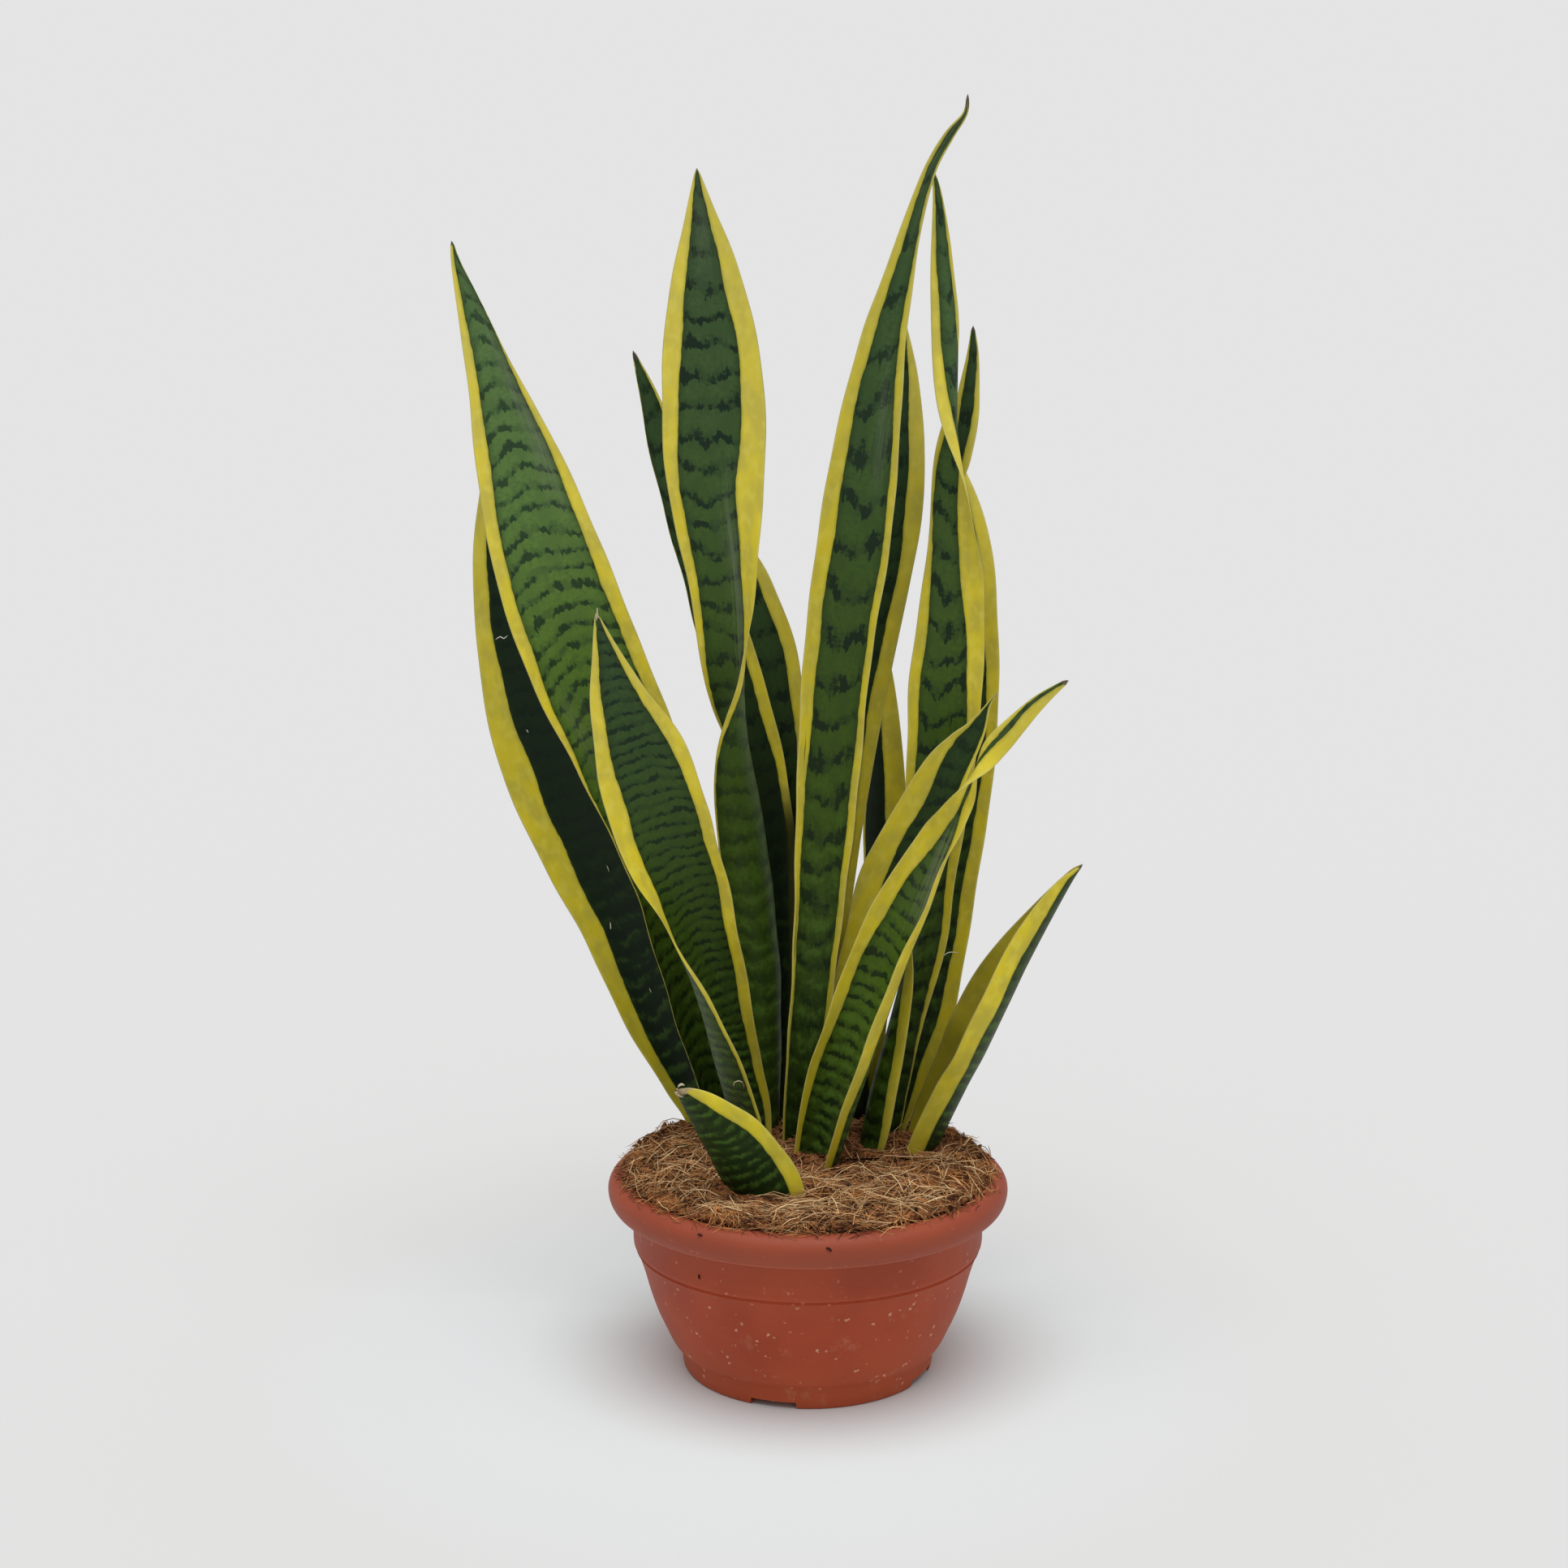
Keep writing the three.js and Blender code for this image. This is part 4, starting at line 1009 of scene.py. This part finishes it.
def spun(profile, steps):
    """The profile turned once about the upright axis."""
    bm = bmesh.new()
    ring = [bm.verts.new((radius * MM, 0, height * MM)) for radius, height in profile]
    for lower, upper in zip(ring, ring[1:]):
        bm.edges.new((lower, upper))
    bmesh.ops.spin(bm, geom=bm.verts[:] + bm.edges[:], cent=(0, 0, 0), axis=(0, 0, 1), angle=2 * math.pi,
                   steps=steps, use_merge=True)
    bmesh.ops.remove_doubles(bm, verts=bm.verts, dist=1e-6)
    bmesh.ops.recalc_face_normals(bm, faces=bm.faces)
    return bm


def cutters():
    """The boxes that notch the foot ring and the rods that bore the drain holes, about the pot's axis."""
    bm = bmesh.new()
    for turn in NOTCH_TURNS:
        box = bmesh.ops.create_cube(bm, size=1.0)["verts"]
        size = (NOTCH_DEPTH * MM, NOTCH_WIDTH * MM, 2 * NOTCH_HEIGHT * MM)
        bmesh.ops.scale(bm, verts=box, vec=size)
        bmesh.ops.translate(bm, verts=box, vec=(FOOT_RADIUS * MM, 0, 0))
        turn_about_axis(bm, box, turn)
    for i in range(DRAIN_COUNT):
        rod = bmesh.ops.create_cone(bm, cap_ends=True, segments=32, radius1=DRAIN_RADIUS * MM,
                                    radius2=DRAIN_RADIUS * MM, depth=4 * FLOOR_TOP * MM)["verts"]
        bmesh.ops.translate(bm, verts=rod, vec=(DRAIN_CIRCLE * MM, 0, 0))
        turn_about_axis(bm, rod, 360 / DRAIN_COUNT * i)
    return bm


def turn_about_axis(bm, verts, degrees):
    bmesh.ops.rotate(bm, verts=verts, cent=(0, 0, 0), matrix=Matrix.Rotation(math.radians(degrees), 3, "Z"))


def cut_away(piece, tool):
    """The piece's mesh less the tool's, with the tool removed afterwards."""
    cut = piece.modifiers.new("cut", "BOOLEAN")
    cut.operation = "DIFFERENCE"
    cut.solver = "EXACT"
    cut.object = tool
    bpy.context.view_layer.update()
    whole = piece.evaluated_get(bpy.context.evaluated_depsgraph_get())
    mesh = bpy.data.meshes.new_from_object(whole)
    piece.modifiers.clear()
    piece.data = mesh
    bpy.data.objects.remove(tool)


def pot():
    plastic = pot_plastic()
    piece = made_piece("bowl_planter", spun(pot_profile(), POT_STEPS), plastic)
    tool = made_piece("pot_cutter", cutters(), plastic)
    cut_away(piece, tool)
    piece.data.transform(Matrix.Translation(Vector(POT_AXIS * MM)))
    piece.data.set_sharp_from_angle(angle=math.radians(SHARP_ANGLE))
    return piece


# ---- coir ------------------------------------------------------------
def coir_height(x, y):
    """Height of the coir's lumpy top: a crown round the leaves that falls over its shoulder to the lip."""
    radius = np.hypot(x, y)
    rise = step(RIM_RADIUS - radius, -4, SHOULDER)
    heap = HEAP * step(y, -20, 80) * (1 - 0.7 * rise)
    lumps = (1.3 * np.sin(0.11 * x + 1.7) * np.cos(0.13 * y) + 0.8 * np.sin(0.27 * x - 0.19 * y)
             + 0.6 * np.cos(0.31 * y + 0.23 * x + 2))
    plain = LIP_HEIGHT + (CROWN_HEIGHT - LIP_HEIGHT) * rise
    return plain + heap + lumps * (0.25 + 0.75 * rise)


def rim_top(radius):
    """Height of the rolled rim's upper side, and beside the rim that of its centre."""
    reach = np.clip(1 - ((radius - RIM_RADIUS) / RIM_ROLL) ** 2, 0, 1)
    return RIM_HEIGHT + RIM_ROLL * np.sqrt(reach)


def rough(x, y, size, seed):
    """Lumps of that size, from about -1 to 1."""
    return np.array([noise.noise(Vector((a / size, b / size, seed))) for a, b in zip(x, y)])


def lip_end(angle):
    """Where the mat's ragged lip ends, in degrees round the rim's section, by the angle round the pot."""
    spoke = angle * 20 / math.pi
    waves = 9 * np.sin(2.3 * spoke) * np.cos(1.1 * spoke + 0.6)
    return 108 + waves + 4 * np.sin(angle * 23) * np.cos(angle * 9)


def coir_mat(material):
    """The mat itself, closed below, with a ragged lip over the inner half of the rim."""
    bm, column, row = wrapped_grid(MAT_SPOKES, MAT_RINGS)
    angle = 2 * math.pi * column / MAT_SPOKES
    ragged = lip_end(angle)
    on_lip = row < MAT_DOWN_ROWS
    lip_angle = np.radians(np.where(on_lip, 180 + (ragged - 180) * row / MAT_DOWN_ROWS, ragged))
    lip_radius = RIM_RADIUS + (RIM_ROLL + MAT_LIP) * np.cos(lip_angle)
    share = np.clip((MAT_RINGS - row) / (MAT_RINGS - MAT_DOWN_ROWS), 0, 1)
    radius = np.where(on_lip, lip_radius, lip_radius * share)
    x = radius * np.cos(angle)
    y = radius * np.sin(angle)
    top = coir_height(x, y)
    for lump_height, size, seed in MAT_LUMPS:
        top = top + lump_height * rough(x, y, size, seed)
    top = np.maximum(top, rim_top(radius) + 0.4)
    height = np.where(on_lip, RIM_HEIGHT + (RIM_ROLL + MAT_LIP) * np.sin(lip_angle), top)
    height = np.where(row == 0, SOIL_TOP + 1, height)
    radius_low = np.where(row == 0, INNER_RADIUS, radius)
    points = np.stack([radius_low * np.cos(angle), radius_low * np.sin(angle), height], 1)
    points[row == MAT_RINGS] = (0, 0, float(np.mean(height[row == MAT_RINGS])))
    lay_vertices(bm, in_frame(points))
    close_shell(bm)
    return made_piece("coir_mat", bm, material)


def leaf_feet():
    """Points across every leaf where it leaves the coir, for fibres to keep clear of."""
    feet = []
    lowest, highest = FEET_HEIGHTS
    for stations in LEAVES.values():
        points, _, _ = blade_surface(stations, np.linspace(0, 1, 241), np.linspace(-1, 1, STRIPS + 1), 0.0)
        middle = points[:, STRIPS // 2, 2]
        low = points[(middle > lowest) & (middle < highest)]
        feet.append(low.reshape(-1, 3)[:, :2])
    return np.vstack(feet)


def clear_of(paths, feet, gap):
    """Which of the paths keep the gap to every leaf."""
    kept = np.ones(len(paths), bool)
    for k in range(paths.shape[1]):
        near = paths[:, k, :2]
        for start in range(0, len(paths), FEET_BATCH):
            part = near[start:start + FEET_BATCH]
            gaps = np.hypot(part[:, None, 0] - feet[None, :, 0], part[:, None, 1] - feet[None, :, 1])
            kept[start:start + FEET_BATCH] &= gaps.min(1) > gap
    return kept


def tufted_middles(draw, tuft, distance, place):
    """Where the middle of each fibre lies, strewn about the middle of its tuft."""
    x = distance[tuft] * np.cos(place[tuft]) + draw.normal(0, TUFT_SPREAD, len(tuft))
    y = distance[tuft] * np.sin(place[tuft]) + draw.normal(0, TUFT_SPREAD, len(tuft))
    return x[:, None], y[:, None]


def fibre_paths(draw, feet, count, tufts, length, arch, lift, curl):
    """Middle lines of that many fibres lying in tufts over and in the coir, each of FIBRE_RINGS spans."""
    found = []
    tuft_distance = TUFT_REACH * np.sqrt(draw.uniform(0.05, 1.0, tufts))
    tuft_place = draw.uniform(0, 2 * math.pi, tufts)
    tuft_heading = draw.uniform(0, 2 * math.pi, tufts)
    s = np.linspace(-0.5, 0.5, FIBRE_RINGS + 1)[None, :]
    while sum(len(paths) for paths in found) < count:
        n = 2 * count
        tuft = draw.integers(0, tufts, n)
        heading = tuft_heading[tuft] + draw.normal(0, TUFT_TURN, n)
        size = draw.uniform(*length, n)
        turn = draw.normal(0, curl, n)
        second = draw.normal(0, curl * 0.5, n)
        bearing = heading[:, None] + turn[:, None] * s * 2 + second[:, None] * np.sin(6 * s)
        dx = np.cumsum(np.cos(bearing), 1) * size[:, None] / (FIBRE_RINGS + 1)
        dy = np.cumsum(np.sin(bearing), 1) * size[:, None] / (FIBRE_RINGS + 1)
        middle_x, middle_y = tufted_middles(draw, tuft, tuft_distance, tuft_place)
        x = middle_x + dx - dx.mean(1, keepdims=True)
        y = middle_y + dy - dy.mean(1, keepdims=True)
        radius = np.hypot(x, y)
        ground = np.maximum(coir_height(x, y) - LIP_FALL * step(radius, *LIP_SPAN), rim_top(radius))
        tilt = draw.normal(0, lift, n)[:, None] * s * 2
        high = draw.uniform(*arch, n)[:, None] * (1 - 3.2 * s ** 2)
        least = np.where(radius > LIP_SPAN[0], ground + 0.2, 0)
        z = np.maximum(ground + high + np.maximum(tilt, -1.5), least)
        paths = np.stack([x, y, z], 2)
        fits = (radius.max(1) < FIBRE_REACH) & clear_of(paths, feet, FIBRE_GAP)
        found.append(paths[fits])
    return np.vstack(found)[:count]


def fibres(name, material, paths, thickness, tones):
    """Every path as a fibre with a few sides, pointed at both ends. One is made and then doubled up."""
    bm, column, row = wrapped_grid(FIBRE_SIDES, FIBRE_RINGS)
    while len(bm.verts) < len(paths) * len(column):
        bmesh.ops.duplicate(bm, geom=bm.verts[:] + bm.edges[:] + bm.faces[:])
    bmesh.ops.delete(bm, geom=bm.verts[len(paths) * len(column):], context="VERTS")
    number = np.repeat(np.arange(len(paths)), len(column))
    column = np.tile(column, len(paths))
    row = np.tile(row, len(paths))
    along = unit(np.gradient(paths, axis=1))
    beside = unit(np.cross(along, (0.0, 0.0, 1.0)) + (1e-6, 0, 0))
    above = np.cross(beside, along)
    angle = 2 * math.pi * column / FIBRE_SIDES
    taper = np.sqrt(np.clip(1 - (2 * row / FIBRE_RINGS - 1) ** 2, 0, 1))
    radius = thickness[number] * taper
    points = (paths[number, row] + beside[number, row] * (radius * np.cos(angle))[:, None]
              + above[number, row] * (radius * np.sin(angle))[:, None])
    lay_vertices(bm, in_frame(points))
    keep_value(bm, "tone", tones[number])
    bmesh.ops.remove_doubles(bm, verts=bm.verts, dist=1e-8)
    bmesh.ops.recalc_face_normals(bm, faces=bm.faces)
    return made_piece(name, bm, material)


def threads(name, material, listed):
    """Thin things that are placed one by one, each along its own few points."""
    shares = np.linspace(0, 1, FIBRE_RINGS + 1)
    paths = np.stack([smooth_points(points, shares) for _, _, points in listed])
    thickness = np.array([thick for thick, _, _ in listed])
    tones = np.array([tone for _, tone, _ in listed])
    return fibres(name, material, paths, thickness, tones)


def crumb_spots(draw, feet):
    """Where the crumbs lie: all over the coir, but not close to a leaf."""
    spots = np.zeros((0, 3))
    n = 2 * CRUMB_COUNT
    while len(spots) < CRUMB_COUNT:
        distance = CRUMB_REACH * np.sqrt(draw.uniform(0, 1, n))
        place = draw.uniform(0, 2 * math.pi, n)
        x = distance * np.cos(place)
        y = distance * np.sin(place)
        z = np.maximum(coir_height(x, y), rim_top(distance)) + draw.uniform(-0.4, 1.2, n)
        candidate = np.stack([x, y, z], 1)
        spots = np.vstack([spots, candidate[clear_of(candidate[:, None], feet, CRUMB_GAP)]])
    return spots[:CRUMB_COUNT]


def crumbs(name, material, draw, feet):
    """Granules of coir pith, each a small rough lump with twenty faces."""
    bm = bmesh.new()
    bmesh.ops.create_icosphere(bm, subdivisions=1, radius=1.0)
    shape = np.array([v.co for v in bm.verts])
    while len(bm.verts) < CRUMB_COUNT * len(shape):
        bmesh.ops.duplicate(bm, geom=bm.verts[:] + bm.edges[:] + bm.faces[:])
    spots = crumb_spots(draw, feet)
    size = draw.gamma(3.0, 0.33, CRUMB_COUNT)
    stretch = draw.uniform(0.55, 1.5, (CRUMB_COUNT, 3)) * size[:, None]
    jitter = 1 + draw.uniform(-0.35, 0.35, (CRUMB_COUNT, len(shape), 1))
    points = spots[:, None] + shape[None] * stretch[:, None] * jitter
    lay_vertices(bm, in_frame(points.reshape(-1, 3)))
    keep_value(bm, "tone", np.repeat(draw.uniform(0, 1, CRUMB_COUNT), len(shape)))
    return made_piece(name, bm, material, smooth=False)


def coir():
    """The mat first, and then what lies loose on it."""
    draw = np.random.default_rng(COIR_SEED)
    feet = leaf_feet()
    skins = {"brown": brown_coir(), "straw": straw_coir()}
    pieces = [coir_mat(coir_mat_fibre()), crumbs("coir_crumbs", coir_pith(), draw, feet)]
    for name, kind in FIBRE_KINDS.items():
        laid = {key: value for key, value in kind.items() if key not in ("skin", "thick")}
        paths = fibre_paths(draw, feet, **laid)
        thickness = draw.uniform(*kind["thick"], len(paths))
        tones = draw.uniform(0, 1, len(paths)) ** 1.5
        pieces.append(fibres(name, skins[kind["skin"]], paths, thickness, tones))
    return pieces


# ---- studio ----------------------------------------------------------
def camera():
    data = bpy.data.cameras.new("camera")
    data.sensor_width = SENSOR
    data.lens = SENSOR * FOCAL_SHARE
    data.clip_end = 100
    camera_object = bpy.data.objects.new("camera", data)
    camera_object.location = CAMERA_PLACE
    camera_object.rotation_euler = (math.radians(90 - CAMERA_PITCH), 0, 0)
    bpy.context.scene.collection.objects.link(camera_object)
    bpy.context.scene.camera = camera_object


def floor():
    bm = bmesh.new()
    bmesh.ops.create_grid(bm, x_segments=1, y_segments=1, size=FLOOR_REACH)
    s = Shader("studio_floor")
    reach = s.node("ShaderNodeVectorMath", dict(operation="LENGTH"), {0: s.place()}, output=1)
    whole, end = FLOOR_NEAR_REACH
    plain = (FLOOR_TONE, FLOOR_TONE, FLOOR_TONE, 1)
    near_pot = (*(share * FLOOR_TONE for share in FLOOR_NEAR_POT), 1)
    surface = s.finish(s.mix(reach.step(end, whole), plain, near_pot), 1.0, Specular_IOR_Level=0.0)
    piece = made_piece("floor", bm, surface, smooth=False)


def sky():
    """Soft even light from all round. The camera sees the plain backdrop tone."""
    world = bpy.data.worlds.new("studio")
    bpy.context.scene.world = world
    world.use_nodes = True
    nodes = world.node_tree.nodes
    links = world.node_tree.links
    nodes.clear()
    output = nodes.new("ShaderNodeOutputWorld")
    mix = nodes.new("ShaderNodeMixShader")
    seen = nodes.new("ShaderNodeBackground")
    seen.inputs["Color"].default_value = (BACKDROP_TONE, BACKDROP_TONE, BACKDROP_TONE, 1)
    light = nodes.new("ShaderNodeBackground")
    light.inputs["Color"].default_value = (1, 1, 1, 1)
    light.inputs["Strength"].default_value = SKY_STRENGTH
    path = nodes.new("ShaderNodeLightPath")
    links.new(path.outputs["Is Camera Ray"], mix.inputs[0])
    links.new(light.outputs[0], mix.inputs[1])
    links.new(seen.outputs[0], mix.inputs[2])
    links.new(mix.outputs[0], output.inputs["Surface"])


def key_light():
    """One broad soft lamp, high above and in front."""
    data = bpy.data.lights.new("key_light", "SUN")
    data.energy = KEY_STRENGTH
    data.angle = math.radians(KEY_SPREAD)
    lamp = bpy.data.objects.new("key_light", data)
    lamp.rotation_euler = (math.radians(90 - KEY_HEIGHT), 0, math.radians(KEY_TURN))
    bpy.context.scene.collection.objects.link(lamp)


def studio():
    camera()
    floor()
    sky()
    key_light()
    bpy.context.scene.view_settings.view_transform = "Standard"


# ---- the whole plant -------------------------------------------------
def carry(piece, slot, *nodes):
    """Puts a piece on the body, and in the place of the nodes that it stands for. Its slot is not used."""
    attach(piece, "root")
    if nodes:
        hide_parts(*nodes)


def plant():
    skin = leaf_skin()
    for number, name in enumerate(LEAVES):
        carry(leaf(name, skin, number), "leaf", name)
    carry(pot(), "terracotta_plastic", "pot")
    mat, *loose = coir()
    carry(mat, "coir", "coir_mulch")
    for piece in loose:
        carry(piece, "coir")
    carry(threads("dried_threads", dried_thread(), THREADS), "leaf")
    carry(threads("soil_flecks", soil_fleck(), SOIL_FLECKS), "soil")
    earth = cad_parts["potting_soil"]
    earth.data.materials.clear()
    earth.data.materials.append(potting_earth())


studio()
plant()
